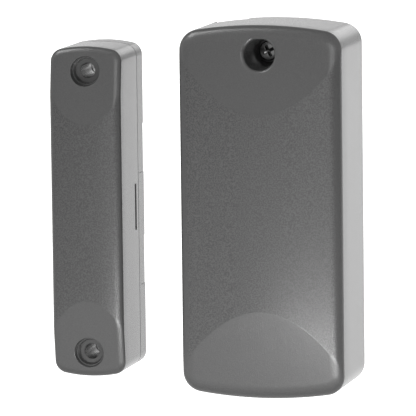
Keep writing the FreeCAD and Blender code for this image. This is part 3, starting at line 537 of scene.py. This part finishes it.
@dataclass(frozen=True)
class HousingForm:
    """Outer form of one housing: a barrel outline, a crowned front and two flat end facets.

    The outline has straight sides, curved ends of one large radius and four corner arcs. Depth is the
    distance from the wall, so a point's Y is minus its depth.
    """

    width: float
    height: float
    end_rise: float
    corner: float
    depth: float
    crown_radius: float
    facet_start: float
    facet_slope: float
    edge: float
    edge_drop: float
    wall: float
    across: tuple[int, int]
    facet_rows: tuple[int, int]
    crown_rows: Row
    top_marks: Row = ()
    crease_gap: float = 0.12
    mark_gap: float = 0.02
    mark_clear: float = 0.15

    @property
    def half_width(self) -> float:
        """Half the overall width."""
        return self.width / 2

    @property
    def side_crease(self) -> float:
        """Height at which the crease reaches the rounded edge."""
        return float(self.crease(np.array(self.half_width - self.edge)))

    @property
    def end_radius(self) -> float:
        """Radius of the curved ends, from half the width and the rise."""
        return (self.half_width ** 2 + self.end_rise ** 2) / (2 * self.end_rise)

    @property
    def lean(self) -> float:
        """Angle from straight up at which a curved end meets its corner arc."""
        return math.asin((self.half_width - self.corner) / (self.end_radius - self.corner))

    @property
    def corner_height(self) -> float:
        """Height of the middle of an upper corner arc, which touches the end's large circle."""
        big = self.end_radius
        return self.height / 2 - big + math.cos(self.lean) * (big - self.corner)

    def crown_drop(self, x: Array) -> Array:
        """How far the crown falls back at x: R minus the root of R squared minus x squared."""
        return self.crown_radius - np.sqrt(self.crown_radius ** 2 - x ** 2)

    def front(self, x: Array, z: Array) -> Array:
        """Depth of the front at x, z: the lower one of the crown and the end facet."""
        tilt = math.tan(math.radians(self.facet_slope))
        facet = np.maximum(np.abs(z) - self.facet_start, 0.0) * tilt
        return self.depth - np.maximum(self.crown_drop(x), facet)

    def crease(self, x: Array) -> Array:
        """Height at which crown and facet meet: the start plus the crown's drop over the facet's tilt."""
        return self.facet_start + self.crown_drop(x) / math.tan(math.radians(self.facet_slope))

    def end_angle(self, x: float) -> float:
        """Angle from straight up of the point of the upper end at x."""
        middle = self.half_width - self.corner
        if abs(x) <= self.end_radius * math.sin(self.lean):
            return math.asin(x / self.end_radius)
        return math.copysign(math.asin((abs(x) - middle) / self.corner), x)

    def end_points(self, angles: Array) -> Arrays:
        """Points and outward normals of the upper end, by angle from straight up, with its corner arcs.

        Within the lean angle a point is on the end's large circle, and past it on the corner's circle.
        """
        normal = np.stack([np.sin(angles), np.cos(angles)], axis=-1)
        middle = np.stack([np.sign(angles) * (self.half_width - self.corner),
                           np.full(len(angles), self.corner_height)], axis=-1)
        big = self.end_radius
        on_end = np.array([0.0, self.height / 2 - big]) + big * normal
        inside = np.abs(angles) <= self.lean + 1e-9
        return np.where(inside[:, None], on_end, middle + self.corner * normal), normal

    def end_angles(self) -> Array:
        """Angles of the upper end's points, even but for a close pair at each mark."""
        split = (self.lean + math.pi / 2) / 2
        nc, ne = self.across
        even = steps((-split, -self.lean, nc), (-self.lean, self.lean, ne), (self.lean, split, nc))
        pairs = np.array([self.end_angle(x + s * self.mark_gap) for x in self.top_marks for s in (-1, 1)])
        for angle in pairs:
            even = even[np.abs(even - angle) > self.mark_clear / self.end_radius]
        return np.sort(np.concatenate([even, pairs]))

    def perimeter(self) -> tuple[Array, Array, tuple[int, int, int]]:
        """The outline as points and outward normals, anticlockwise from the lower left corner's middle.

        Returns:
            Points, normals, and how many intervals the bottom, one facet's side and the crown's side have.
        """
        ns, na = self.facet_rows
        first, second = self.side_crease, self.side_crease + self.crease_gap
        straight = steps((first, second, 1), (second, self.corner_height, ns))
        angles = self.end_angles()
        arc, arc_normal = self.end_points(steps((math.pi / 2, angles[-1], na)))
        rows = np.array(self.crown_rows) * self.side_crease
        level = np.concatenate([-straight[::-1], rows[1:-1], straight])
        plain = np.stack([np.full(len(level), self.half_width), level], axis=-1)
        plain_normal = np.tile([1.0, 0.0], (len(level), 1))
        flip, mirror = np.array([1.0, -1.0]), np.array([-1.0, 1.0])
        right = np.concatenate([(arc * flip)[::-1][:-1], plain, arc[1:]])
        right_normal = np.concatenate([(arc_normal * flip)[::-1][:-1], plain_normal, arc_normal[1:]])
        top, top_normal = self.end_points(angles)
        loop = [top * flip, right, top[::-1], (right * mirror)[::-1]]
        normal = [top_normal * flip, right_normal, top_normal[::-1], (right_normal * mirror)[::-1]]
        return (np.concatenate([part[:-1] for part in loop]), np.concatenate([part[:-1] for part in normal]),
                (len(angles) - 1, len(straight) - 1 + na, len(rows) - 1))

    def patch_grid(self, edge: Array) -> Arrays:
        """Lays a grid over the front inside a ring of points, as three blended patches.

        Each facet is a Coons patch: the two rulings between opposite sides added, less the bilinear
        patch of the four corners. The crown is ruled from crease to crease.

        Args:
            edge: The ring's x and z, in perimeter order.

        Returns:
            The grid's x and z, rows upwards and columns rightwards, and which ring point lies on each
            border point of the grid (minus one inside).
        """
        _, _, (m, nf, nc) = self.perimeter()
        side, total = 2 * nf + nc, len(edge)
        bottom, right = np.arange(0, m + 1), np.arange(m, m + side + 1)
        top = np.arange(m + side, 2 * m + side + 1)[::-1]
        left = np.append(np.arange(2 * m + side, total), 0)[::-1]
        s = (edge[top, 0] - edge[top[0], 0]) / (edge[top[-1], 0] - edge[top[0], 0])
        cx = (2 * s - 1) * edge[right[nf], 0]
        grid = np.zeros((side + 1, m + 1, 2))
        for sign, rows, outer in ((1, slice(nf + nc, side + 1), top), (-1, slice(0, nf + 1), bottom)):
            crease = np.stack([cx, sign * self.crease(cx)], axis=-1)
            end = edge[outer]
            side_l, side_r = edge[left[rows]], edge[right[rows]]
            low, high = (crease, end) if sign > 0 else (end, crease)
            low[0], low[-1], high[0], high[-1] = side_l[0], side_r[0], side_l[-1], side_r[-1]
            run = np.concatenate([[0.0], np.cumsum(np.hypot(*np.diff(side_l, axis=0).T))])
            t = (run / run[-1])[:, None, None]
            u = s[None, :, None]
            corners = ((1 - t) * (1 - u) * low[0] + (1 - t) * u * low[-1]
                       + t * (1 - u) * high[0] + t * u * high[-1])
            grid[rows] = ((1 - t) * low[None] + t * high[None] + (1 - u) * side_l[:, None]
                          + u * side_r[:, None] - corners)
        grid[nf:nf + nc + 1, :, 0] = cx[None]
        grid[nf:nf + nc + 1, :, 1] = np.array(self.crown_rows)[:, None] * self.crease(cx)[None]
        border = np.full((side + 1, m + 1), -1)
        border[0], border[-1], border[:, 0], border[:, -1] = bottom, top, left, right
        on = border >= 0
        grid[on] = edge[border[on]]
        return grid, border

    def front_patch(self, draft: MeshDraft, ring: Array, edge: Array, sink: float,
                    holes: tuple[RoundHole, ...]) -> list[Arrays]:
        """Covers the front inside a ring of points, and leaves the holes open.

        Args:
            draft: The mesh that grows.
            ring: Indices of the ring, in perimeter order.
            edge: The ring's x and z.
            sink: How far below the front's outer surface the patch lies: nought outside.
            holes: The holes to leave.

        Returns:
            For each hole, its rim loop's indices and their x, z.
        """
        grid, border = self.patch_grid(edge)
        inner = grid[1:-1, 1:-1]
        depth = self.front(inner[..., 0], inner[..., 1]) - sink
        index = np.where(border >= 0, ring[border], 0)
        index[1:-1, 1:-1] = draft.add_at(inner, depth)
        keep = np.ones((grid.shape[0] - 1, grid.shape[1] - 1), dtype=bool)
        rims = [self.open_hole(draft, grid, index, keep, hole, sink) for hole in holes]
        draft.skin(index, keep=keep)
        return rims

    def open_hole(self, draft: MeshDraft, grid: Array, index: Array, keep: Array,
                  hole: RoundHole, sink: float) -> Arrays:
        """Takes a block of cells out of the grid and fills it with rings that close on a circle.

        Each ring point lies on the ray from the hole's middle to a point of the block's edge, a share of
        the way to the circle.

        Returns:
            The circle's indices, anticlockwise seen from the front, and their x, z.
        """
        mid = int(np.argmin(np.abs(grid[len(grid) // 2, :, 0])))
        j0, j1 = mid - hole.columns, mid + hole.columns
        i0, i1 = (len(grid) - 1 - hole.rows, len(grid) - 1) if hole.height > 0 else (0, hole.rows)
        keep[i0:i1, j0:j1] = False
        js, iu = np.arange(j0, j1), np.arange(i0, i1)
        rows = np.concatenate([np.full(len(js), i0), iu, np.full(len(js), i1), iu[::-1] + 1])
        cols = np.concatenate([js, np.full(len(iu), j1), js[::-1] + 1, np.full(len(iu), j0)])
        edge, edge_index = grid[rows, cols], index[rows, cols]
        centre = np.array([0.0, hole.height])
        ray = edge - centre
        radius = hole.inner_radius if sink else hole.radius
        circle = centre + ray / np.linalg.norm(ray, axis=1)[:, None] * radius
        t = np.linspace(0, 1, hole.rings + 1)[1:, None, None]
        xz = edge[None] * (1 - t) + circle[None] * t
        loops = draft.add_at(xz, self.front(xz[..., 0], xz[..., 1]) - sink)
        draft.skin(np.concatenate([edge_index[None], loops]), closed=True)
        return loops[-1], circle

    def bore(self, draft: MeshDraft, hole: RoundHole, outer: Arrays, inner: Arrays) -> None:
        """Carries a hole's outer rim along its profile to the rim in the shell's inside."""
        centre = np.array([0.0, hole.height])
        ray = (outer[1] - centre) / hole.radius
        base = float(self.front(np.array(0.0), np.array(hole.height)))
        tilt = (self.front(outer[1][:, 0], outer[1][:, 1]) - base) / hole.radius
        r, d, follow = (np.array(c)[:, None] for c in zip(*hole.profile))
        xz = centre + ray[None] * r[..., None]
        loops = draft.add_at(xz, d + tilt[None] * r * follow)
        draft.skin(np.concatenate([outer[0][None], loops, inner[0][None]]), closed=True)


def rounded_rim(radius: float, depth: float, size: float, count: int) -> tuple[Triple, ...]:
    """Quarter round from a facet into a hole: the radius falls as a sine and the depth as one less cosine.

    Args:
        radius: Radius of the hole below the round.
        depth: Depth of the facet at the hole's middle.
        size: Radius of the round.
        count: Number of rings.

    Returns:
        Rings of a hole's profile, all at the facet's full tilt.
    """
    turn = np.linspace(0, math.pi / 2, count + 1)[1:]
    return tuple((radius + size * (1 - math.sin(a)), depth - size * (1 - math.cos(a)), 1.0) for a in turn)


# Housings


CABLE_ENTRY = (-18.3, -8.7)
COVER_SCREW_HEIGHT = 43.0
WALL_SCREW_HEIGHT = 38.7
NOTCH_HALF = 2.7
SLOT_HALF = 6.4
MAGNET_SIDE_CREASE = 29.111
POST_SIDES = 32


@dataclass
class Housing:
    """A moulded cover: outer skin, rounded front edge, side walls, back rim, inner skin and holes.

    The skin is one chain of rings that follow the outline: from the edge of the inside's ceiling down the
    inner wall, over the back rim, up the outer wall and round the front edge.
    """

    name: str
    node: str
    form: HousingForm
    back: float
    chamfer: float
    offset: Pair
    holes: tuple[RoundHole, ...]
    inner_rows: Row
    outer_rows: Row
    fillet_steps: int = 18
    crease_blend: float = 0.8
    edge_blend: float = 0.3
    edge_start: float = 0.3

    def chain(self) -> Arrays:
        """Works out the rings.

        The rounded front edge is the front itself, carried on to the wall, less a quarter ellipse: at a
        turn u the inset is the edge's width times one less sine, and the drop its height times one less
        cosine. So it leaves the front without a line, whatever the front does there.

        Returns:
            Depth and inset of every ring point, rings by points.
        """
        form = self.form
        loop, normal, _ = form.perimeter()
        inside = loop - normal * form.wall
        ceiling = form.front(inside[:, 0], inside[:, 1]) - form.wall
        flat = np.ones(len(loop))
        turn = np.linspace(math.pi / 2, 0, self.fillet_steps + 1)[:, None]
        round_inset = form.edge * (1 - np.sin(turn)) * flat
        x, z = np.moveaxis(loop - normal * round_inset[..., None], -1, 0)
        round_depth = form.front(x, z) - form.edge_drop * (1 - np.cos(turn))
        last = self.outer_rows[-1]
        rise = [last + t * (round_depth[0] - last) for t in (1 / 3, 2 / 3)]
        depth = np.concatenate([ceiling[None], np.outer(self.inner_rows, flat), [self.back * flat] * 2,
                                np.outer(self.outer_rows, flat), rise, round_depth])
        within = len(self.inner_rows) + 2
        inset = np.concatenate([np.full((within, len(loop)), form.wall), [self.chamfer * flat],
                                np.zeros((len(self.outer_rows) + 2, len(loop))), round_inset])
        return depth, inset

    def shape(self, loop: Array, depth: Array, inset: Array) -> Arrays:
        """Changes the rings where this housing has something of its own: nothing on a plain one."""
        return depth, inset

    def openings(self, draft: MeshDraft, index: Array) -> Array:
        """Tells which cells of the chain stay: all on a plain housing."""
        return np.ones((index.shape[0] - 1, index.shape[1]), dtype=bool)

    def inside(self, draft: MeshDraft) -> None:
        """Adds what stands on the inside of the cover: nothing on a plain one."""

    def fine_grain(self, spots: Array) -> Array:
        """Tells how fine the grain is at points x, y, z: nought on the crown, one on facets and walls.

        It is half at the crease and grows over the crease's blend. On the rounded edge it starts a share
        of the edge's blend below the front.
        """
        x, depth, z = spots[:, 0], -spots[:, 1], spots[:, 2]
        past_crease = np.abs(z) - self.form.crease(x)
        below_front = self.form.front(x, z) - depth
        fine = np.maximum(past_crease / self.crease_blend + 0.5,
                          below_front / self.edge_blend - self.edge_start)
        return np.clip(fine, 0.0, 1.0)

    def build(self) -> None:
        """Builds the cover, dresses it and puts it in place of its node."""
        form = self.form
        loop, normal, _ = form.perimeter()
        depth, inset = self.shape(loop, *self.chain())
        xz = loop[None] - normal[None] * inset[..., None]
        draft = MeshDraft()
        index = draft.add_at(xz, depth)
        draft.skin(index, closed=True, keep=self.openings(draft, index))
        outer = form.front_patch(draft, index[-1], xz[-1], 0.0, self.holes)
        inner = form.front_patch(draft, index[0], xz[0], form.wall, self.holes)
        for hole, rim_out, rim_in in zip(self.holes, outer, inner):
            form.bore(draft, hole, rim_out, rim_in)
        self.inside(draft)
        spots = np.concatenate(draft.points)
        dx, dz = self.offset
        draft.points = [spots + np.array([dx, 0.0, dz])]
        thing = draft.mesh(self.name)
        grain = thing.data.attributes.new("fine_grain", "FLOAT", "POINT")
        grain.data.foreach_set("value", self.fine_grain(spots))
        replace(thing, Slot.HOUSING, self.node)

    def post(self, draft: MeshDraft, x: float, z: float, radius: float, near: float) -> None:
        """Adds a round post with a small chamfer from a depth up into the front wall, closed at both ends."""
        turn = full_turn(POST_SIDES)
        chamfer, sunk_in = 0.2, 0.6 * self.form.wall
        far = float(self.form.front(np.array(x), np.array(z))) - sunk_in
        spans = [(radius - chamfer, near), (radius, near + chamfer), (radius, far)]
        draft.capped(np.stack([np.stack([x + r * np.cos(turn), np.full(POST_SIDES, -d),
                                         z + r * np.sin(turn)], axis=-1) for r, d in spans]))

    def bar(self, draft: MeshDraft, low: Triple, high: Triple) -> None:
        """Adds a closed rectangular rib between two corners given as x, depth, z."""
        (x0, d0, z0), (x1, d1, z1) = low, high
        square = ((x0, z0), (x1, z0), (x1, z1), (x0, z1))
        draft.capped(np.array([[(x, -d, z) for x, z in square] for d in (d0, d1)]))


@dataclass
class TransmitterHousing(Housing):
    """The transmitter's cover: a sunk screw well, an outline for a cable entry, a press post and two lugs.

    The press post is given as x, z, radius and the depth of its end, and a lug as two corners in x from
    its middle, depth and z.
    """

    entry: Pair = CABLE_ENTRY
    entry_depth: float = 5.4
    entry_sink: float = 0.27
    press_post: tuple[float, float, float, float] = (-8.0, -19.0, 2.2, 14.0)
    lug_middle: float = 11.0
    lug_low: Triple = (-2.5, 7.0, -49.3)
    lug_high: Triple = (2.5, 9.0, -46.45)

    def shape(self, loop: Array, depth: Array, inset: Array) -> Arrays:
        """Sinks the cable entry's outline into the outer skin of the top wall."""
        across = (loop[:, 0] > self.entry[0]) & (loop[:, 0] < self.entry[1]) & (loop[:, 1] > 0)
        low = (depth < self.entry_depth) & (inset < self.form.wall / 2)
        return depth, np.where(low & across[None], np.maximum(inset, self.entry_sink), inset)

    def inside(self, draft: MeshDraft) -> None:
        """Adds the post that presses the tamper switch and the lugs for the back plate's hooks."""
        self.post(draft, *self.press_post)
        for x in (-self.lug_middle, self.lug_middle):
            self.bar(draft, *((x + across, d, z) for across, d, z in (self.lug_low, self.lug_high)))


@dataclass
class MagnetHousing(Housing):
    """The magnet's cover: two sunk screw tubes, a slot in each side, pry notches and the magnet's cradle."""

    slot_rows: Pair = (8.1, 9.7)
    slot_half: float = SLOT_HALF
    notch_half: float = NOTCH_HALF
    notch_depth: float = 6.6
    row_gap: float = 0.001

    def shape(self, loop: Array, depth: Array, inset: Array) -> Arrays:
        """Lifts the rim at the middle of both ends, where a screwdriver goes in."""
        across = (np.abs(loop[:, 0]) < self.notch_half) & (np.abs(loop[:, 1]) > self.form.height / 3)
        order = np.arange(len(depth))[:, None] * self.row_gap
        lifted = np.maximum(depth, self.notch_depth + order)
        return np.where(across[None] & (depth < self.notch_depth), lifted, depth), inset

    def openings(self, draft: MeshDraft, index: Array) -> Array:
        """Opens the two slots and lines them from the outer to the inner wall."""
        keep = super().openings(draft, index)
        _, _, (m, nf, nc) = self.form.perimeter()
        total = index.shape[1]
        rows = np.array(self.form.crown_rows) * self.form.side_crease
        j0, j1 = (int(np.argmin(np.abs(rows - s * self.slot_half))) for s in (-1, 1))
        inner_low = 1 + self.inner_rows.index(self.slot_rows[0])
        first_outer = len(self.inner_rows) + 3
        outer_low = first_outer + self.outer_rows.index(self.slot_rows[0])
        for c0, c1 in ((m + nf + j0, m + nf + j1), (total - nf - j1, total - nf - j0)):
            keep[outer_low, c0:c1] = False
            keep[inner_low - 1, c0:c1] = False
            cols = np.arange(c0, c1 + 1)
            outer = np.concatenate([index[outer_low, cols], index[outer_low + 1, cols[::-1]]])
            inner = np.concatenate([index[inner_low, cols], index[inner_low - 1, cols[::-1]]])
            draft.skin(np.stack([outer, inner]), closed=True)
        return keep

    def inside(self, draft: MeshDraft) -> None:
        """Adds the four walls of the cradle that holds the bar magnet."""
        half_w, half_l, wall, near, far = 5.1, 20.1, 1.0, 19.2, 24.0
        for side in (-1, 1):
            x, z = side * (half_w + wall / 2), side * (half_l + wall / 2)
            self.bar(draft, (x - wall / 2, near, -half_l), (x + wall / 2, far, half_l))
            self.bar(draft, (-half_w - wall, near, z - wall / 2), (half_w + wall, far, z + wall / 2))


TRANSMITTER_FORM = HousingForm(
    width=45.0, height=101.7, end_rise=2.2, corner=5.5, depth=28.5, crown_radius=165.0, facet_start=26.8,
    facet_slope=5.6, edge=3.6, edge_drop=1.7, wall=2.0, across=(8, 60), facet_rows=(7, 10),
    crown_rows=rows_with(marks=(), count=40, gap=0.006), top_marks=CABLE_ENTRY)
MAGNET_FORM = HousingForm(
    width=20.0, height=90.8, end_rise=1.4, corner=3.5, depth=25.0, crown_radius=49.0, facet_start=24.3,
    facet_slope=7.4, edge=2.2, edge_drop=1.1, wall=1.8, across=(7, 40), facet_rows=(10, 8),
    crown_rows=rows_with(marks=(-SLOT_HALF / MAGNET_SIDE_CREASE, SLOT_HALF / MAGNET_SIDE_CREASE), count=40,
                         gap=0.006),
    top_marks=(-NOTCH_HALF, NOTCH_HALF))
WELL_PROFILE = rounded_rim(radius=4.2, depth=26.91, size=0.95, count=8) + (
    (4.12, 25.3, 0.9), (4.0, 23.7, 0.75), (3.85, 21.8, 0.5), (3.65, 19.2, 0.25), (3.45, 16.6, 0.1),
    (3.25, 14.0, 0.0), (3.05, 13.8, 0.0), (1.7, 13.8, 0.0), (1.6, 13.7, 0.0), (1.6, 12.0, 0.0),
    (4.46, 12.0, 0.0), (4.8, 16.4, 0.0), (5.2, 21.6, 0.3))
SINK_PROFILE = rounded_rim(radius=4.1, depth=23.13, size=0.15, count=4) + (
    (4.02, 22.6, 0.5), (3.91, 22.15, 0.2), (3.8, 21.73, 0.0), (3.6, 21.73, 0.0), (3.33, 20.28, 0.0),
    (3.18, 20.13, 0.0), (2.2, 20.13, 0.0), (2.1, 20.03, 0.0), (2.1, 8.9, 0.0), (2.5, 8.8, 0.0),
    (2.5, 8.0, 0.0), (3.7, 8.0, 0.0), (3.7, 18.33, 0.0), (4.85, 18.33, 0.0))
TRANSMITTER = TransmitterHousing(
    "transmitter_housing", "transmitter_cover", TRANSMITTER_FORM, back=0.0, chamfer=0.15, offset=(0.0, 0.0),
    holes=(RoundHole(COVER_SCREW_HEIGHT, radius=5.15, inner_radius=5.45, columns=12, rows=14,
                     profile=WELL_PROFILE),),
    inner_rows=(16.0, 8.0), outer_rows=(0.15, 5.38, 5.42))
MAGNET = MagnetHousing(
    "magnet_housing", "magnet_cover", MAGNET_FORM, back=6.0, chamfer=0.2, offset=(-49.7, -1.2),
    holes=tuple(RoundHole(z, radius=4.25, inner_radius=4.85, columns=17, rows=15, profile=SINK_PROFILE)
                for z in (WALL_SCREW_HEIGHT, -WALL_SCREW_HEIGHT)),
    inner_rows=(14.0, 9.7, 8.1), outer_rows=(6.2, 7.0, 8.1, 9.7))


@dataclass
class CoverScrew:
    """Pan head self-tapping screw with a cross recess, at the bottom of the transmitter's well."""

    name: str = "cover_screw_dressed"
    node: str = "cover_screw"
    height: float = COVER_SCREW_HEIGHT
    seat: float = 13.8
    head_radius: float = 2.75
    head_height: float = 2.1
    crown: float = 0.28
    edge: float = 0.55
    core: float = 1.15
    thread: float = 0.2
    pitch: float = 1.0
    length: float = 9.5
    recess_half_width: float = 0.42
    recess_reach: float = 1.62
    recess_depth: float = 1.25
    recess_wall: float = 0.16
    recess_rise: float = 0.55
    turn_degrees: float = 25.0
    tip: float = 1.6
    tip_least: float = 0.15
    centre_gap: float = 0.02
    around: int = 144
    face_rings: int = 56
    edge_rings: int = 7
    rings_per_turn: int = 12

    def head_top(self, r: Array, turn: Array) -> Array:
        """Depth of the head's face: a shallow dome, less the cross.

        The cross is the nearer one of two bars. Its walls lean, and its floor rises from the middle to
        the ends of the arms, as the point of a driver does.
        """
        a = turn - math.radians(self.turn_degrees)
        x, y = np.abs(r * np.cos(a)), np.abs(r * np.sin(a))
        along, side = np.maximum(x, y), np.minimum(x, y)
        outside = np.maximum(side - self.recess_half_width, along - self.recess_reach)
        wall = np.clip(-outside / self.recess_wall, 0.0, 1.0)
        floor = self.recess_depth * (1.0 - self.recess_rise * along / self.recess_reach)
        face = self.seat + self.head_height - self.crown * (r / self.head_radius) ** 2
        return face - floor * wall

    def build(self) -> None:
        """Builds the head from a polar grid and the shank from a ridged profile, and dresses them."""
        turn = full_turn(self.around)
        r = np.linspace(self.centre_gap, self.head_radius - self.edge, self.face_rings)[:, None]
        depth = self.head_top(r, turn[None])
        draft = MeshDraft()
        rounding = np.linspace(0, math.pi / 2, self.edge_rings + 1)[1:, None]
        rim_r = self.head_radius - self.edge + self.edge * np.sin(rounding)
        fallen = self.crown * ((self.head_radius - self.edge) / self.head_radius) ** 2
        rim_d = self.seat + self.head_height - fallen - self.edge * (1 - np.cos(rounding))
        shank_rings = int(self.length / self.pitch * self.rings_per_turn)
        fall = np.linspace(0.0, self.length, shank_rings)[:, None]
        phase = fall / self.pitch - turn[None] / (2 * math.pi)
        ridge = 1.0 - 2.0 * np.abs(phase - np.round(phase))
        fade = np.clip((self.length - fall) / self.tip, self.tip_least, 1.0)
        shank_r = (self.core - self.thread * (1.0 - ridge)) * fade
        parts = ((r, depth), (rim_r, rim_d), (self.head_radius, self.seat), (shank_r, self.seat - fall))
        radii, depths = (np.concatenate([part[i] + 0 * turn[None] for part in parts]) for i in (0, 1))
        index = draft.loft(np.stack([radii * np.cos(turn), -depths, self.height + radii * np.sin(turn)],
                                    axis=-1))
        tip_of_recess = float(self.head_top(np.array(0.0), np.array(0.0)))
        draft.fan(index[0], np.array([0.0, -tip_of_recess, self.height]))
        draft.fan(index[-1], np.array([0.0, self.length - self.seat, self.height]))
        thing = draft.mesh(self.name, sharp_degrees=40.0)
        replace(thing, Slot.BLACK_SCREW, self.node)


# Studio


LAMP_TARGET = (-0.02, -0.01, 0.0)


@dataclass(frozen=True)
class Lamp:
    """A soft rectangular lamp: its place, its size, its power in watts and whether a mirror shows it."""

    name: str
    place: Triple
    size: Pair
    power: float
    mirrored: bool = True

    def build(self) -> None:
        """Hangs the lamp and turns it to the object."""
        light = bpy.data.lights.new(self.name, "AREA")
        light.shape = "RECTANGLE"
        light.size, light.size_y = self.size
        light.energy = self.power
        thing = put_in_scene(self.name, light)
        thing.location = self.place
        thing.visible_camera = False
        thing.visible_glossy = self.mirrored
        towards = Vector(LAMP_TARGET) - Vector(self.place)
        thing.rotation_euler = towards.to_track_quat("-Z", "Y").to_euler()


@dataclass(frozen=True)
class Studio:
    """Pale floor, plain world, soft lamps and the camera at the photograph's angle.

    white_behind and white_above are where, in the Y and Z of a direction, a mirror finds the world white.
    """

    camera_place: Triple = (0.32084, -1.3348, 0.17383)
    camera_right: Triple = (0.96897, 0.24687, -0.01238)
    camera_up: Triple = (-0.01941, 0.12592, 0.99185)
    lens_mm: float = 435.5
    sensor_mm: float = 36.0
    camera_reach: float = 30.0
    floor_height: float = -0.096
    floor_rings: Row = (0.001, 0.5, 1.5, 4.5)
    floor_sides: int = 64
    white_behind: Pair = (0.6, 0.92)
    white_above: Pair = (-0.02, 0.06)
    surround: float = 0.06
    lamps: tuple[Lamp, ...] = (
        Lamp("key", (0.376, -2.13, 0.401), (0.9, 0.6), 4.28),
        Lamp("upper_left", (-1.1, -1.1, 1.556), (0.9, 0.9), 16.96),
        Lamp("left_side", (-1.838, -0.669, 0.416), (0.9, 0.9), 1.16),
        Lamp("rear_right", (1.974, 0.921, 0.306), (1.0, 1.0), 38.99, mirrored=False),
        Lamp("rear_above", (-0.436, 1.628, 1.414), (1.2, 1.0), 33.55, mirrored=False),
        Lamp("near_front", (0.012, -0.139, -0.015), (0.06, 0.1), 0.03, mirrored=False),
        Lamp("high_behind", (0.293, 2.083, 0.643), (0.9, 0.5), 1.69),
        Lamp("low_behind", (-0.743, 2.042, 0.344), (0.9, 0.35), 0.24),
        Lamp("low_right", (0.174, -1.991, -0.084), (0.25, 0.07), 0.27),
        Lamp("floor_card", (0.035, -0.2, -0.082), (0.13, 0.02), 0.2),
    )

    def camera(self) -> None:
        """Sets the camera from its place and its own right and up directions."""
        data = bpy.data.cameras.new("photograph_view")
        data.lens = self.lens_mm
        data.sensor_width = self.sensor_mm
        data.clip_end = self.camera_reach
        right, up = Vector(self.camera_right), Vector(self.camera_up)
        back = right.cross(up)
        turn = Matrix((right, up, back)).transposed().to_4x4()
        thing = put_in_scene("photograph_view", data)
        thing.matrix_world = Matrix.Translation(self.camera_place) @ turn
        bpy.context.scene.camera = thing

    def surroundings(self) -> None:
        """Makes the world.

        The camera sees it white, also through glass. A mirror ray finds it white behind the object and above
        the horizon. Every other ray finds the plain soft light of the surround.
        """
        world = bpy.data.worlds.new("studio")
        world.use_nodes = True
        tree = world.node_tree
        tree.nodes.clear()
        path = add_node(tree, "LightPath").outputs
        side = add_node(tree, "SeparateXYZ", {0: add_node(tree, "TexCoord").outputs["Generated"]}).outputs
        bright = maths(tree, "MAXIMUM", ramped(tree, side["Y"], *self.white_behind),
                       ramped(tree, side["Z"], *self.white_above))
        see = maths(tree, "MAXIMUM", path["Is Camera Ray"], path["Is Transmission Ray"])
        mirror = blend(tree, path["Is Glossy Ray"], self.surround, bright)
        sky = add_node(tree, "Background", {"Strength": blend(tree, see, mirror, 1.0)}, Color=WHITE)
        add_node(tree, "OutputWorld", {"Surface": sky.outputs[0]})
        bpy.context.scene.world = world

    def floor(self) -> None:
        """Lays a round floor."""
        turn = full_turn(self.floor_sides)
        radii = np.array(self.floor_rings)[:, None]
        rings = np.broadcast_arrays(radii * np.cos(turn), radii * np.sin(turn), self.floor_height)
        draft = MeshDraft()
        draft.skin(draft.add(np.stack(rings, axis=-1) / MM)[:, ::-1], closed=True)
        thing = draft.mesh("floor")
        thing.data.materials.append(PaintedFloor().build())

    def build(self) -> None:
        """Puts the studio together."""
        bpy.context.scene.view_settings.view_transform = "Standard"
        self.camera()
        self.surroundings()
        self.floor()
        for lamp in self.lamps:
            lamp.build()


def main() -> None:
    """Builds the studio and the pieces."""
    logging.basicConfig(level=logging.INFO, format="%(message)s")
    Studio().build()
    dress_kept()
    for piece in (CoverScrew(), TRANSMITTER, MAGNET):
        piece.build()


if __name__ == "__main__":
    main()
